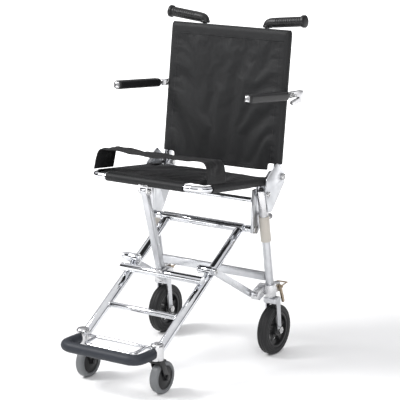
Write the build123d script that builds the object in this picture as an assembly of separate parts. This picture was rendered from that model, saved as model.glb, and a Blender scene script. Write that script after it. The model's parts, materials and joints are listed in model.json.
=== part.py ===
from build123d import *
import os
from math import sin, cos, tan, radians, hypot

# Folding transport chair on four wheels, in millimetres.
# +Z is up, the chair faces -Y, X runs across it, and the floor is Z = 0.
# Every left piece is the mirror image of the right one (+X).
# Pieces are drawn with Y = 0 above the rear axle; write() then moves them so that
# the origin is on the floor in the middle of the chair's length.

# ---------------------------------------------------------------- rear wheels
WHEEL_R = 62.5          # outer radius of a rear tyre
WHEEL_W = 25.0          # width of a rear tyre
RIM_R = WHEEL_R - 17.5  # where the tyre sits on the rim
HUB_R = 15.0
TRACK = 165.0           # X of the rear wheels and of the legs above them
AXLE_R = 5.0
RUN = 0.05              # radial gap of everything that turns on a pin
GAP = 0.5               # side gap between moving neighbours

# ---------------------------------------------------------------- rear frame
LEG_R = 10.0
LEG_WALL = 2.0
LEG_LEAN = 9.7          # degrees; the leg's line passes through the axle
LEG_FOOT_Z = 2 * WHEEL_R + 25    # where the leg enters the fork crown
LEG_TOP_Z = 427.0
SOCKET_R = LEG_R + 1.5  # casting over the top of the leg
SOCKET_Z = 364.0
SLEEVE_R = LEG_R + 2.8  # soft sleeve below the casting
SLEEVE_Z = (297.0, 361.0)
CROSS_BAR_Z = 202.0     # flat bar between the legs
CROSS_BAR = (12.0, 19.0)
PLATE_X = TRACK - LEG_R - 9.5    # inner face of the side plates
PLATE_T = 3.0
CHEEK_X = TRACK + LEG_R + 2.0    # inner face of the outer hinge cheeks
CHEEK_T = 3.0
SEAT_PIVOT = (-59.0, 418.0)      # Y, Z of the pin that the seat lifts about
BACK_PIVOT = (9.5, 450.0)        # Y, Z of the bolt that the back folds about
PIN_R = 4.0
UNDER_TUBE = (-74.0, 403.0)      # Y, Z of the tube under the seat
UNDER_TUBE_R = 6.0
BRAKE_PIVOT = (12.0, 172.0)      # Y, Z of the brake lever's pin
BRAKE_TRAVEL = 20.0     # degrees from free to pressed

# ---------------------------------------------------------------- front frame
LADDER_X = 108.0        # X of the sloping side tubes
LADDER_R = 11.0
LADDER_WALL = 2.0
LADDER_TOP = (-67.0, 328.0)      # Y, Z of the axle that the frame folds about
LADDER_SLOPE = 32.9     # degrees below the horizontal
CASTER_Y = -419.0       # swivel axis
HOUSING_R = 16.0
HOUSING_Z = (86.0, 126.0)
BAR_R = 10.0            # barrels and wide bar
BARREL_S = 167.0        # distance down the slope from the axle to the barrels
WIDE_BAR_S = 202.0
RUNG_S = 306.0
RUNG_R = 7.0
BUMPER_R = 13.0
BUMPER_Y = -500.0       # middle of the bumper's front run
BUMPER_Z = 103.0
LOOP_R = 4.0            # steel rod of the heel loop
BRACE_W = 16.0
BRACE_T = 5.0
BRACE_X = LADDER_X + LADDER_R + 9.5     # inner face of a brace
BRACE_FOOT = (-50.0, 158.0)      # Y, Z of the brace's rear bolt

# ---------------------------------------------------------------- casters
CASTER_R = 39.0
CASTER_W = 22.0
CASTER_TRAIL = 19.0
TREAD = 11.0            # depth of a caster's tyre

# ---------------------------------------------------------------- seat
SEAT_X = PLATE_X + PLATE_T + 12.0       # X of the seat's side tubes
SEAT_R = 8.0
SEAT_WALL = 1.5
SEAT_FRONT = (-311.0, 472.0)     # Y, Z of the front bar's axis
SEAT_SLOPE = 6.1        # degrees; the seat falls towards the back
SEAT_LENGTH = 291.0     # front bar's axis to the rear ends
SEAT_BEND = 30.0
CLOTH_T = 2.2           # cloth sleeve on a tube
CLOTH_GAP = 0.3
SLING_T = 3.0
FLAP_X = 112.0          # half width of the flap over the front bar
BELT_H = 64.0           # top of the belt above the seat tubes
BELT_W = 78.0
BELT_T = 2.5
BELT_START = 14.0       # from the front bar's axis to the belt
STRUT_W = 15.0
STRUT_D = 19.0
STRUT_DROP = 21.0       # from the front bar's axis down to the strut's pin

# ---------------------------------------------------------------- back
BACK_X = TRACK - 2.5
BACK_R = 10.0
BACK_LEAN = 7.26
BACK_FOOT = 47.0        # tube below the pivot
BACK_HEIGHT = 341.0     # pivot to the axis of the top bar
BACK_BEND = 30.0
SLING_START = 29.0      # pivot to the lower edge at the sides
SLING_TAIL_X = BACK_X - 22.5
SLING_TAIL = 12.0       # pivot to the lower edge of the middle panel
CROSS_BAR_S = 150.0     # cross bar behind the cloth, up from the pivot
CROSS_BAR_OUT = 2.0

# ---------------------------------------------------------------- armrests
ARM_PIVOT_S = 199.0     # pivot bolt, up the back from the back's own pivot
ARM_X = BACK_X + BACK_R + 5.5     # inner face of the pad
ARM_W = 22.0
ARM_H = 21.0
ARM_TIP = -168.0        # Y of the front end
ARM_RISE = 5.3          # degrees; the pad rises towards the front
PAD_START = 30.0        # pivot to the pad's rear end
CAP_LENGTH = 8.9
HOOK_BACK = 52.0        # the casting's hook behind the pivot
HOOK_W = 15.0
HOOK_T = 8.0

# ---------------------------------------------------------------- push handles
STEM_X = 92.0
STEM_R = 7.0
STEM_OFF = BACK_R + STEM_R + 3.5     # behind the top bar's axis
STEM_CUT = 17.0         # notch in the cloth round each stem's clamp
GRIP_R = 12.5
GRIP_LENGTH = 92.0
GRIP_RISE = 6.0
GRIP_START = 14.0       # elbow to the grip's inner end
GRIP_FLANGE = 3.0       # flange above the grip


def yz(y, z):
    """A point in the side view."""
    return (y, z)


def side_plane(x):
    """The side view at X, with Y to the right and Z up."""
    return Plane(origin=(x, 0, 0), x_dir=(0, 1, 0), z_dir=(1, 0, 0))


def rod(start, end, radius, bore=0.0):
    """Round bar, or tube, from one point to another."""
    axis = Vector(*end) - Vector(*start)
    plane = Plane(origin=start, z_dir=axis)
    solid = extrude(plane * Circle(radius), amount=axis.length)
    if bore > 0:
        solid -= extrude(plane * Circle(bore), amount=axis.length)
    return solid


def cross_rod(x0, x1, at, radius, bore=0.0):
    """Round bar along X through a point of the side view."""
    return rod((x0, at[0], at[1]), (x1, at[0], at[1]), radius, bore)


def plate(points, x0, thickness, corner=0.0):
    """Flat plate cut to an outline in the side view."""
    outline = make_face(Polyline(*points, close=True))
    if corner > 0:
        outline = fillet(outline.vertices(), corner)
    return extrude(side_plane(x0) * outline, amount=thickness)


def flat_bar(start, end, width, x0, thickness):
    """Flat bar with round ends between two points of the side view."""
    run = hypot(end[0] - start[0], end[1] - start[1])
    plane = Plane(
        origin=(x0, start[0], start[1]),
        x_dir=(0, (end[0] - start[0]) / run, (end[1] - start[1]) / run),
        z_dir=(1, 0, 0),
    )
    outline = Pos(run / 2, 0) * Rectangle(run, width)
    outline += Circle(width / 2) + Pos(run, 0) * Circle(width / 2)
    return extrude(plane * outline, amount=thickness)


def bent_rod(points, radius, bend, bore=0.0):
    """Round bar, or tube, bent through a list of points."""
    path = FilletPolyline(*points, radius=bend)
    start = Plane(origin=path @ 0, z_dir=path % 0)
    solid = sweep(start * Circle(radius), path=path)
    if bore > 0:
        solid -= sweep(start * Circle(bore), path=path)
    return solid


def block(low, high, corner=0.0):
    """Box between two corners, with its long edges rounded."""
    size = [high[i] - low[i] for i in range(3)]
    middle = [(high[i] + low[i]) / 2 for i in range(3)]
    solid = Pos(*middle) * Box(*size)
    if corner > 0:
        solid = fillet(solid.edges(), corner)
    return solid


def leg_at(z):
    """Y, Z of the leg's axis at a height."""
    return yz(-(z - WHEEL_R) * tan(radians(LEG_LEAN)), z)


def leg_point(z):
    return (TRACK, *leg_at(z))


def ladder_at(s, lift=0.0):
    """Y, Z down the slope from the axle, lifted square off the tubes."""
    a = radians(LADDER_SLOPE)
    return yz(
        LADDER_TOP[0] - s * cos(a) - lift * sin(a),
        LADDER_TOP[1] - s * sin(a) + lift * cos(a),
    )


def seat_at(s, up=0.0):
    """Y, Z back from the front bar's axis, and square up off the seat."""
    a = radians(SEAT_SLOPE)
    return yz(
        SEAT_FRONT[0] + s * cos(a) + up * sin(a),
        SEAT_FRONT[1] - s * sin(a) + up * cos(a),
    )


def seat_plane(s):
    """Cross-section of the seat: X across, up off the seat."""
    a = radians(SEAT_SLOPE)
    return Plane(
        origin=(0, *seat_at(s)), x_dir=(1, 0, 0), z_dir=(0, -cos(a), sin(a))
    )


def back_at(s, out=0.0):
    """Y, Z up the back from its pivot, and square out behind it."""
    a = radians(BACK_LEAN)
    return yz(
        BACK_PIVOT[0] + s * sin(a) + out * cos(a),
        BACK_PIVOT[1] + s * cos(a) - out * sin(a),
    )


def back_plane(s):
    """Cross-section of the back: X across, and towards the sitter."""
    a = radians(BACK_LEAN)
    return Plane(
        origin=(0, *back_at(s)), x_dir=(1, 0, 0), z_dir=(0, sin(a), cos(a))
    )


# ================================================================ rear frame
def rear_leg():
    tube = rod(leg_point(LEG_FOOT_Z), leg_point(LEG_TOP_Z), LEG_R, LEG_R - LEG_WALL)
    return tube - seat_pin_hole()


def seat_pin_hole():
    return cross_rod(PLATE_X - 20, CHEEK_X + 20, SEAT_PIVOT, PIN_R + RUN)


def leg_socket():
    """Casting clamped over the leg's top, with the seat pin through it."""
    cup = rod(leg_point(SOCKET_Z), leg_point(LEG_TOP_Z), SOCKET_R, LEG_R + RUN)
    return cup - seat_pin_hole()


def leg_sleeve():
    return rod(leg_point(SLEEVE_Z[0]), leg_point(SLEEVE_Z[1]), SLEEVE_R, LEG_R + RUN)


def side_plate():
    """Inner plate with a turned-out front edge, tying leg, axle and back."""
    top_front = leg_at(LEG_TOP_Z)
    outline = [
        (top_front[0] - 14, LEG_TOP_Z),
        (leg_at(340)[0] - 33, LADDER_TOP[1] - 7),
        (leg_at(330)[0] - 8, LADDER_TOP[1] - 13),
        (leg_at(350)[0] + 20, SLEEVE_Z[1] - 16),
        (BACK_PIVOT[0] + 3, BACK_PIVOT[1] - 40),
        (BACK_PIVOT[0] + 12, BACK_PIVOT[1] + 10),
        (BACK_PIVOT[0] - 8, BACK_PIVOT[1] + 12),
        (top_front[0] + 22, LEG_TOP_Z + 4),
    ]
    sheet = plate(outline, PLATE_X, PLATE_T)
    top, bottom = outline[:2]
    lip = [top, bottom, (bottom[0] + 2.5, bottom[1]), (top[0] + 2.5, top[1])]
    sheet += plate(lip, PLATE_X + PLATE_T, PLATE_T)
    sheet -= seat_pin_hole()
    sheet -= cross_rod(PLATE_X - 5, PLATE_X + 9, BACK_PIVOT, PIN_R + RUN)
    sheet -= cross_rod(PLATE_X - 5, PLATE_X + 9, LADDER_TOP, PIN_R + 2 + RUN)
    return sheet


def hinge_cheek():
    """Outer plate from the leg's top to the back's pivot."""
    leg = leg_at(SEAT_PIVOT[1])
    outline = [
        (leg[0] - 6, LEG_TOP_Z + 1),
        (leg[0] + 6, SOCKET_Z + 8),
        (leg[0] + 22, SOCKET_Z + 8),
        (BACK_PIVOT[0] + 9, BACK_PIVOT[1] - 15),
        (BACK_PIVOT[0] + 9, BACK_PIVOT[1] + 9),
        (BACK_PIVOT[0] - 24, BACK_PIVOT[1] + 37),
        (BACK_PIVOT[0] - 37, BACK_PIVOT[1] + 30),
        (leg[0] - 2, BACK_PIVOT[1] + 4),
    ]
    sheet = plate(outline, CHEEK_X, CHEEK_T, corner=4.0)
    sheet -= seat_pin_hole()
    return sheet - cross_rod(CHEEK_X - 5, CHEEK_X + 9, BACK_PIVOT, PIN_R + RUN)


def seat_pin():
    """Pin through plate, seat lug, leg and cheek, with two heads."""
    pin = cross_rod(PLATE_X - 2, CHEEK_X + CHEEK_T + 1, SEAT_PIVOT, PIN_R)
    pin += cross_rod(PLATE_X - 4.2, PLATE_X - 0.2, SEAT_PIVOT, PIN_R + 2.5)
    outer = CHEEK_X + CHEEK_T
    return pin + cross_rod(outer + 0.2, outer + 3.2, SEAT_PIVOT, PIN_R + 2.5)


def back_bolt():
    """Shoulder bolt that the back tube turns on."""
    bolt = cross_rod(PLATE_X - 2, CHEEK_X + CHEEK_T + 1, BACK_PIVOT, PIN_R)
    bolt += cross_rod(PLATE_X - 4.2, PLATE_X - 0.2, BACK_PIVOT, PIN_R + 3)
    outer = CHEEK_X + CHEEK_T
    return bolt + cross_rod(outer + 0.2, outer + 3.2, BACK_PIVOT, PIN_R + 4)


def back_spacers():
    """Washers that centre the back tube between plate and cheek."""
    inner = cross_rod(PLATE_X + PLATE_T + 0.1, BACK_X - BACK_R - GAP, BACK_PIVOT, 8, PIN_R + RUN)
    outer = cross_rod(BACK_X + BACK_R + GAP, CHEEK_X - 0.1, BACK_PIVOT, 8, PIN_R + RUN)
    return [inner, outer]


def under_tube():
    reach = PLATE_X - 0.1
    return cross_rod(-reach, reach, UNDER_TUBE, UNDER_TUBE_R, UNDER_TUBE_R - 1.5)


def ladder_axle():
    """Bright axle from plate to plate, with a collar inside each plate."""
    reach = PLATE_X + PLATE_T + 3
    axle = cross_rod(-reach, reach, LADDER_TOP, PIN_R + 2)
    for side in (-1, 1):
        axle += cross_rod(side * (LADDER_X + LADDER_R + 6), side * (PLATE_X - 0.3), LADDER_TOP, 9)
    return axle


def rear_cross_bar():
    at = leg_at(CROSS_BAR_Z)
    reach = TRACK - LEG_R - 0.2
    d, h = CROSS_BAR
    low = (-reach, at[0] - d / 2, CROSS_BAR_Z - h / 2)
    high = (reach, at[0] + d / 2, CROSS_BAR_Z + h / 2)
    return block(low, high)


def seat_stop():
    """Rubber button on the leg's top that the seat tube comes down on."""
    base = Vector(TRACK, SEAT_PIVOT[0] - 5, LEG_TOP_Z + 0.1)
    height = seat_stop_height()
    return rod(base, (base.X, base.Y, base.Z + height), 6.0)


def seat_stop_height():
    """From the leg's top to just under the cloth on the seat tube."""
    run = SEAT_PIVOT[0] + 1 - SEAT_FRONT[0]
    under = SEAT_FRONT[1] - run * tan(radians(SEAT_SLOPE))
    under -= (SEAT_R + CLOTH_GAP + CLOTH_T) / cos(radians(SEAT_SLOPE))
    return under - LEG_TOP_Z - 0.6


def wheel_fork():
    """Crown and two blades that straddle the rear wheel."""
    blade_in = TRACK - WHEEL_W / 2 - 1.0
    blade_out = TRACK + WHEEL_W / 2 + 1.0
    crown_z = WHEEL_R * 2 + 8
    crown = block((blade_in - 4, -24, crown_z), (blade_out + 4, 4, LEG_FOOT_Z - 2), corner=3)
    fork = crown
    for x0 in (blade_in - 4, blade_out):
        fork += flat_bar((-7, crown_z + 8), (0, WHEEL_R), 16, x0, 4)
    fork += rod(leg_point(LEG_FOOT_Z - 6), leg_point(LEG_FOOT_Z + 22), LEG_R - LEG_WALL - RUN)
    return fork - cross_rod(TRACK - 40, TRACK + 40, (0, WHEEL_R), AXLE_R + RUN)


def foot_casting():
    """Casting around the leg's foot that carries the brace's bolt."""
    at = leg_at(168)
    body = rod(leg_point(LEG_FOOT_Z + 3), leg_point(184), LEG_R + 4, LEG_R + RUN)
    inner = BRACE_X + BRACE_T + 1.0
    ear = flat_bar((BRACE_FOOT[0], BRACE_FOOT[1]), (at[0], 170), 22, inner, TRACK - LEG_R - 4 - inner + 3)
    body += ear
    return body - rod(leg_point(LEG_FOOT_Z - 10), leg_point(194), LEG_R + RUN)


def rear_axle_bolt():
    """Axle bolt with a head and a nut outside the fork blades."""
    inner = TRACK - WHEEL_W / 2 - 5.2
    outer = TRACK + WHEEL_W / 2 + 5.2
    bolt = cross_rod(inner - 4, outer + 4, (0, WHEEL_R), AXLE_R)
    for x0, x1 in ((inner - 5, inner), (outer, outer + 5)):
        bolt += extrude(side_plane(x0) * Pos(0, WHEEL_R) * RegularPolygon(9, 6), amount=x1 - x0)
    return bolt


def brake_block():
    """Block behind the leg's foot that the brake lever turns in."""
    at = leg_at(170)
    front = at[0] + LEG_R + 4.2
    solid = block((TRACK - 7, front, 158), (TRACK + 7, BRAKE_PIVOT[0] + 5, 182), corner=1.5)
    return solid - cross_rod(TRACK - 20, TRACK + 20, BRAKE_PIVOT, 2.5 + RUN)


def brake_lever():
    """Wire loop behind the wheel's top, with its pin and a short shoe arm."""
    y, z = BRAKE_PIVOT
    half = 13.0
    points = [
        (TRACK - half, y, z),
        (TRACK - half, y + 24, z + 4),
        (TRACK, y + 52, z - 4),
        (TRACK + half, y + 24, z + 4),
        (TRACK + half, y, z),
    ]
    loop = bent_rod(points, 1.8, 5)
    pin = cross_rod(TRACK - half - 4, TRACK - 7.5, BRAKE_PIVOT, 3.2)
    pin += cross_rod(TRACK + 7.5, TRACK + half + 4, BRAKE_PIVOT, 3.2)
    pin += cross_rod(TRACK - 9, TRACK + 9, BRAKE_PIVOT, 2.5)
    return loop + pin + flat_bar(BRAKE_PIVOT, brake_shoe_at(), 8, TRACK + 7.5, 4)


def brake_shoe_at():
    """Foot of the shoe arm: it comes down on the tyre when the lever is pressed."""
    y, z = BRAKE_PIVOT
    reach = z - WHEEL_R - ((WHEEL_R + 4.4) ** 2 - y ** 2) ** 0.5
    a = radians(BRAKE_TRAVEL)
    return (y + reach * sin(a), z - reach * cos(a))


def lock_knob():
    """Spring plunger behind the leg, on the sleeve's upper end."""
    at = leg_at(356)
    base = Plane(origin=(TRACK, at[0] + SLEEVE_R + 7.7, 356), z_dir=(0, 1, 0))
    knob = extrude(base * Circle(7), amount=9)
    knob = fillet(knob.edges(), 2.5)
    stem = extrude(base * Circle(3), amount=-4)
    return knob + stem


def lock_housing():
    """Threaded body that guides the plunger."""
    at = leg_at(356)
    base = Plane(origin=(TRACK, at[0] + SLEEVE_R + 1.4, 356), z_dir=(0, 1, 0))
    return extrude(base * Circle(6) - base * Circle(3 + RUN), amount=5.3)


# ================================================================ rear wheels
def rear_tyre():
    half = WHEEL_W / 2
    tyre = cross_rod(TRACK - half, TRACK + half, (0, WHEEL_R), WHEEL_R, RIM_R + RUN)
    circles = tyre.edges().filter_by(GeomType.CIRCLE)
    return fillet([e for e in circles if e.radius > RIM_R + 5], 6.0)


def rear_hub():
    """Moulded rim, five spokes and a hub on the axle bolt."""
    half = WHEEL_W / 2 - 1
    rim = cross_rod(TRACK - half, TRACK + half, (0, WHEEL_R), RIM_R, RIM_R - 6)
    hub = cross_rod(TRACK - WHEEL_W / 2, TRACK + WHEEL_W / 2, (0, WHEEL_R), HUB_R)
    wheel = rim + hub
    for i in range(5):
        angle = radians(90 + 72 * i)
        near = (HUB_R - 3) * cos(angle), WHEEL_R + (HUB_R - 3) * sin(angle)
        far = (RIM_R - 5.5) * cos(angle), WHEEL_R + (RIM_R - 5.5) * sin(angle)
        wheel += flat_bar(near, far, 9, TRACK - 7, 14)
    return wheel - cross_rod(TRACK - 20, TRACK + 20, (0, WHEEL_R), AXLE_R + RUN)


# ================================================================ front frame
def ladder_length():
    """Down the slope to where a side tube meets its caster housing."""
    return (LADDER_TOP[0] - CASTER_Y - HOUSING_R * 0.7) / cos(radians(LADDER_SLOPE))


def ladder_tube():
    start = (LADDER_X, *ladder_at(14))
    end = (LADDER_X, *ladder_at(ladder_length()))
    tube = rod(start, end, LADDER_R, LADDER_R - LADDER_WALL)
    return tube - rod((LADDER_X, CASTER_Y, 60), (LADDER_X, CASTER_Y, 160), HOUSING_R + 0.1)


def ladder_top_tube():
    """Cross tube that turns on the axle, with a saddle for each side tube."""
    reach = LADDER_X + LADDER_R
    tube = cross_rod(-reach, reach, LADDER_TOP, LADDER_R, PIN_R + 2 + RUN)
    for side in (-1, 1):
        tube -= rod((side * LADDER_X, *ladder_at(14)), (side * LADDER_X, *ladder_at(40)), LADDER_R + 0.1)
    return tube


def knee_barrel():
    """Short cross tube welded on top of a side tube, for the brace's bolt."""
    at = ladder_at(BARREL_S, LADDER_R + BAR_R + 0.1)
    return cross_rod(LADDER_X - 18, BRACE_X - GAP, at, BAR_R, PIN_R + RUN)


def knee_bolt():
    at = ladder_at(BARREL_S, LADDER_R + BAR_R + 0.1)
    bolt = cross_rod(LADDER_X - 20, BRACE_X + BRACE_T + 3, at, PIN_R)
    bolt += cross_rod(LADDER_X - 22, LADDER_X - 18.2, at, 7)
    return bolt + cross_rod(BRACE_X + BRACE_T + GAP, BRACE_X + BRACE_T + GAP + 4, at, 7)


def wide_bar():
    reach = LADDER_X + LADDER_R
    return cross_rod(-reach, reach, ladder_at(WIDE_BAR_S, LADDER_R + BAR_R + 0.1), BAR_R)


def rung():
    reach = LADDER_X - LADDER_R - 0.1
    return cross_rod(-reach, reach, ladder_at(RUNG_S), RUNG_R)


def caster_housing():
    """Domed casting on the foot of a side tube, bored for the swivel stem."""
    low, high = HOUSING_Z
    cup = rod((LADDER_X, CASTER_Y, low), (LADDER_X, CASTER_Y, high), HOUSING_R)
    cup = fillet([e for e in cup.edges() if e.center().Z > high - 1], 8)
    return cup - rod((LADDER_X, CASTER_Y, low), (LADDER_X, CASTER_Y, high - 8), PIN_R + 2 + RUN)


def foot_bumper():
    """Soft bar bent round in front of the casters."""
    start = CASTER_Y - HOUSING_R - 0.4
    points = [
        (-LADDER_X, start, BUMPER_Z),
        (-LADDER_X, BUMPER_Y, BUMPER_Z),
        (LADDER_X, BUMPER_Y, BUMPER_Z),
        (LADDER_X, start, BUMPER_Z),
    ]
    return bent_rod(points, BUMPER_R, 26)


def heel_loop():
    """Steel rod across the castings with a bent loop in front of it."""
    reach = LADDER_X - HOUSING_R - 0.2
    rear = CASTER_Y + 6
    bar = rod((-reach, rear, BUMPER_Z + 5), (reach, rear, BUMPER_Z + 5), LOOP_R)
    half = LADDER_X - 36
    points = [
        (-half, rear, BUMPER_Z + 5),
        (-half, BUMPER_Y + 38, BUMPER_Z),
        (half, BUMPER_Y + 38, BUMPER_Z),
        (half, rear, BUMPER_Z + 5),
    ]
    return bar + bent_rod(points, LOOP_R, 14)


def brace():
    """Flat bar from the barrel's bolt to the casting at the leg's foot."""
    at = ladder_at(BARREL_S, LADDER_R + BAR_R + 0.1)
    bar = flat_bar(at, BRACE_FOOT, BRACE_W, BRACE_X, BRACE_T)
    return bar - cross_rod(BRACE_X - 5, BRACE_X + BRACE_T + 5, at, PIN_R + RUN)


def brace_foot_bolt():
    """Bolt head on the brace's rear end."""
    return cross_rod(BRACE_X - 4.1, BRACE_X - 0.1, BRACE_FOOT, 5.5)


# ================================================================ casters
def caster_fork():
    """Swivel fork: stem, crown and two trailing legs."""
    low = HOUSING_Z[0]
    hub_y = CASTER_Y + CASTER_TRAIL
    inner = CASTER_W / 2 + 1.0
    stem = rod((LADDER_X, CASTER_Y, low - 4), (LADDER_X, CASTER_Y, low + 28), PIN_R + 2)
    crown = block(
        (LADDER_X - inner - 3.5, CASTER_Y - 13, CASTER_R * 2 + 1.2),
        (LADDER_X + inner + 3.5, CASTER_Y + 16, low - 0.6),
        corner=1.5,
    )
    fork = stem + crown
    for x0 in (LADDER_X - inner - 3.5, LADDER_X + inner):
        fork += flat_bar((CASTER_Y + 2, low - 8), (hub_y, CASTER_R), 15, x0, 3.5)
    return fork - cross_rod(LADDER_X - 30, LADDER_X + 30, (hub_y, CASTER_R), PIN_R + RUN)


def caster_bolt():
    hub = (CASTER_Y + CASTER_TRAIL, CASTER_R)
    reach = CASTER_W / 2 + 4.7
    bolt = cross_rod(LADDER_X - reach - 2, LADDER_X + reach + 2, hub, PIN_R)
    bolt += cross_rod(LADDER_X - reach - 3, LADDER_X - reach, hub, 6.5)
    return bolt + cross_rod(LADDER_X + reach, LADDER_X + reach + 3, hub, 6.5)


def caster_tyre():
    hub = (CASTER_Y + CASTER_TRAIL, CASTER_R)
    half = CASTER_W / 2
    tyre = cross_rod(LADDER_X - half, LADDER_X + half, hub, CASTER_R, CASTER_R - TREAD + RUN)
    circles = tyre.edges().filter_by(GeomType.CIRCLE)
    return fillet([e for e in circles if e.radius > CASTER_R - 5], 5.0)


def caster_core():
    hub = (CASTER_Y + CASTER_TRAIL, CASTER_R)
    half = CASTER_W / 2
    core = cross_rod(LADDER_X - half + 2, LADDER_X + half - 2, hub, CASTER_R - TREAD)
    core += cross_rod(LADDER_X - half, LADDER_X + half, hub, 9)
    return core - cross_rod(LADDER_X - 30, LADDER_X + 30, hub, PIN_R + RUN)


# ================================================================ seat
def seat_route():
    """Corners of the seat tube's axis."""
    rear = seat_at(SEAT_LENGTH)
    front = seat_at(0)
    return [(-SEAT_X, *rear), (-SEAT_X, *front), (SEAT_X, *front), (SEAT_X, *rear)]


def seat_frame():
    """One tube bent into a U, with a lug down to each pivot pin."""
    tube = bent_rod(seat_route(), SEAT_R, SEAT_BEND, SEAT_R - SEAT_WALL)
    for side in (-1, 1):
        tube += seat_lug(side)
    return tube


def seat_lug(side):
    """Ear from the tube's inner side down to the seat pin."""
    near = SEAT_PIVOT[0] - SEAT_FRONT[0]
    x_in = PLATE_X + PLATE_T + GAP
    x_out = TRACK - SOCKET_R - GAP
    s = near / cos(radians(SEAT_SLOPE))
    ear = flat_bar(SEAT_PIVOT, seat_at(s, -2), 16, x_in, x_out - x_in)
    ear -= cross_rod(x_in - 5, x_out + 5, SEAT_PIVOT, PIN_R + RUN)
    tube_core = rod((SEAT_X, *seat_at(s - 30)), (SEAT_X, *seat_at(s + 30)), SEAT_R - SEAT_WALL)
    ear -= tube_core
    return ear if side > 0 else mirror(ear, about=Plane.YZ)


def seat_end_plugs():
    """Rubber plugs in the rear ends of the seat tube."""
    plugs = []
    for side in (-1, 1):
        start = (side * SEAT_X, *seat_at(SEAT_LENGTH - 12))
        end = (side * SEAT_X, *seat_at(SEAT_LENGTH - 0.1))
        plugs.append(rod(start, end, SEAT_R - SEAT_WALL))
    return plugs


def seat_sling():
    """Cloth with a sleeve on each side tube and a flap over the front bar."""
    outer = SEAT_R + CLOTH_GAP + CLOTH_T
    inner = SEAT_R + CLOTH_GAP
    start = SEAT_BEND + 2
    length = SEAT_LENGTH - start
    section = Pos(0, outer - SLING_T / 2) * Rectangle(2 * SEAT_X, SLING_T)
    for side in (-1, 1):
        section += Pos(side * SEAT_X, 0) * Circle(outer)
    for side in (-1, 1):
        section -= Pos(side * SEAT_X, 0) * Circle(inner)
    body = extrude(seat_plane(start) * section, amount=-length)
    # clear of the lugs that come down inside the sleeves
    lug_s = (SEAT_PIVOT[0] - SEAT_FRONT[0]) / cos(radians(SEAT_SLOPE))
    for side in (-1, 1):
        x0 = side * (PLATE_X - 1)
        x1 = side * (TRACK - SOCKET_R)
        cut = rod((x0, *seat_at(lug_s, -6)), (x1, *seat_at(lug_s, -6)), 14)
        body -= cut
    # slits that let the side plates pass as the seat lifts
    slit = lug_s - 26
    for side in (-1, 1):
        gap = Pos(side * (PLATE_X + PLATE_T / 2), 0) * Rectangle(PLATE_T + 2.9, 40)
        body -= extrude(seat_plane(slit) * gap, amount=-SEAT_LENGTH)
    # front flap: the panel runs on over the front bar and down in front of it
    strip = Pos(0, outer - SLING_T / 2) * Rectangle(2 * FLAP_X, SLING_T)
    flap = extrude(seat_plane(0) * strip, amount=-start - 1)
    wrap = cross_rod(-FLAP_X, FLAP_X, seat_at(0), outer, inner)
    front = Pos(0, outer) * Rectangle(2 * FLAP_X + 2, 2 * outer + 4)
    keep = extrude(seat_plane(0) * front, amount=outer + 1)
    return body + flap + (wrap & keep) - bent_rod(seat_route(), inner, SEAT_BEND)


def seat_belt():
    """Wide band that arches over the front of the seat from tube to tube."""
    low = SEAT_R + CLOTH_GAP + CLOTH_T + 0.3
    t = BELT_T
    outer = [(SEAT_X + 4, low), (SEAT_X + 1, 38), (SEAT_X - 14, BELT_H)]
    inner = [(SEAT_X - 14 - t * 0.6, BELT_H - t), (SEAT_X + 1 - t, 37), (SEAT_X + 4 - t, low)]
    points = outer + [(-x, z) for x, z in reversed(outer)]
    points += [(-x, z) for x, z in reversed(inner)] + inner
    face = make_face(Polyline(*points, close=True))
    return extrude(seat_plane(BELT_START) * face, amount=-BELT_W)


def strut_pin_at():
    return (SEAT_FRONT[0] - 3, SEAT_FRONT[1] - STRUT_DROP)


def clevis():
    """U-shaped fork under the front bar, with the strut between its cheeks."""
    y, z = strut_pin_at()
    half = STRUT_W / 2 + GAP
    low, top = z - 7, SEAT_FRONT[1] - SEAT_R - 0.1
    body = block((-half - 4, y - 9, z + 9.5), (half + 4, y + 11, top + 4))
    body -= cross_rod(-half - 10, half + 10, SEAT_FRONT, SEAT_R + 0.1)
    for x0 in (-half - 4, half):
        body += flat_bar((y, z), (y, z + 12), 16, x0, 4)
    body -= cross_rod(-half - 10, half + 10, SEAT_FRONT, SEAT_R + 0.1)
    return body - cross_rod(-half - 10, half + 10, (y, z), PIN_R + RUN)


def clevis_pin():
    half = STRUT_W / 2 + GAP + 4
    at = strut_pin_at()
    pin = cross_rod(-half - 1, half + 1, at, PIN_R)
    pin += cross_rod(-half - 3.5, -half - 0.2, at, 6.5)
    return pin + cross_rod(half + 0.2, half + 3.5, at, 6.5)


def strut():
    """Box-section prop from the clevis down to the wide bar."""
    y, z = strut_pin_at()
    bar = ladder_at(WIDE_BAR_S, LADDER_R + BAR_R + 0.1)
    run = hypot(bar[0] - y, bar[1] - z)
    uy, uz = (bar[0] - y) / run, (bar[1] - z) / run
    plane = Plane(origin=(0, y, z), x_dir=(1, 0, 0), z_dir=(0, uy, uz))
    length = run - BAR_R - 5.5
    body = extrude(plane * Rectangle(STRUT_W, STRUT_D - 3), amount=length)
    body += cross_rod(-STRUT_W / 2, STRUT_W / 2, (y, z), (STRUT_D - 3) / 2)
    return body - cross_rod(-STRUT_W, STRUT_W, (y, z), PIN_R + RUN)


def strut_shoe():
    """Shallow saddle on the strut's foot that sits on the wide bar."""
    y, z = strut_pin_at()
    bar = ladder_at(WIDE_BAR_S, LADDER_R + BAR_R + 0.1)
    run = hypot(bar[0] - y, bar[1] - z)
    uy, uz = (bar[0] - y) / run, (bar[1] - z) / run
    plane = Plane(origin=(0, y + uy * (run - BAR_R - 5.4), z + uz * (run - BAR_R - 5.4)),
                  x_dir=(1, 0, 0), z_dir=(0, uy, uz))
    body = extrude(plane * Rectangle(STRUT_W + 5, STRUT_D + 1), amount=9)
    return body - cross_rod(-40, 40, bar, BAR_R + 0.4)


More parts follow.
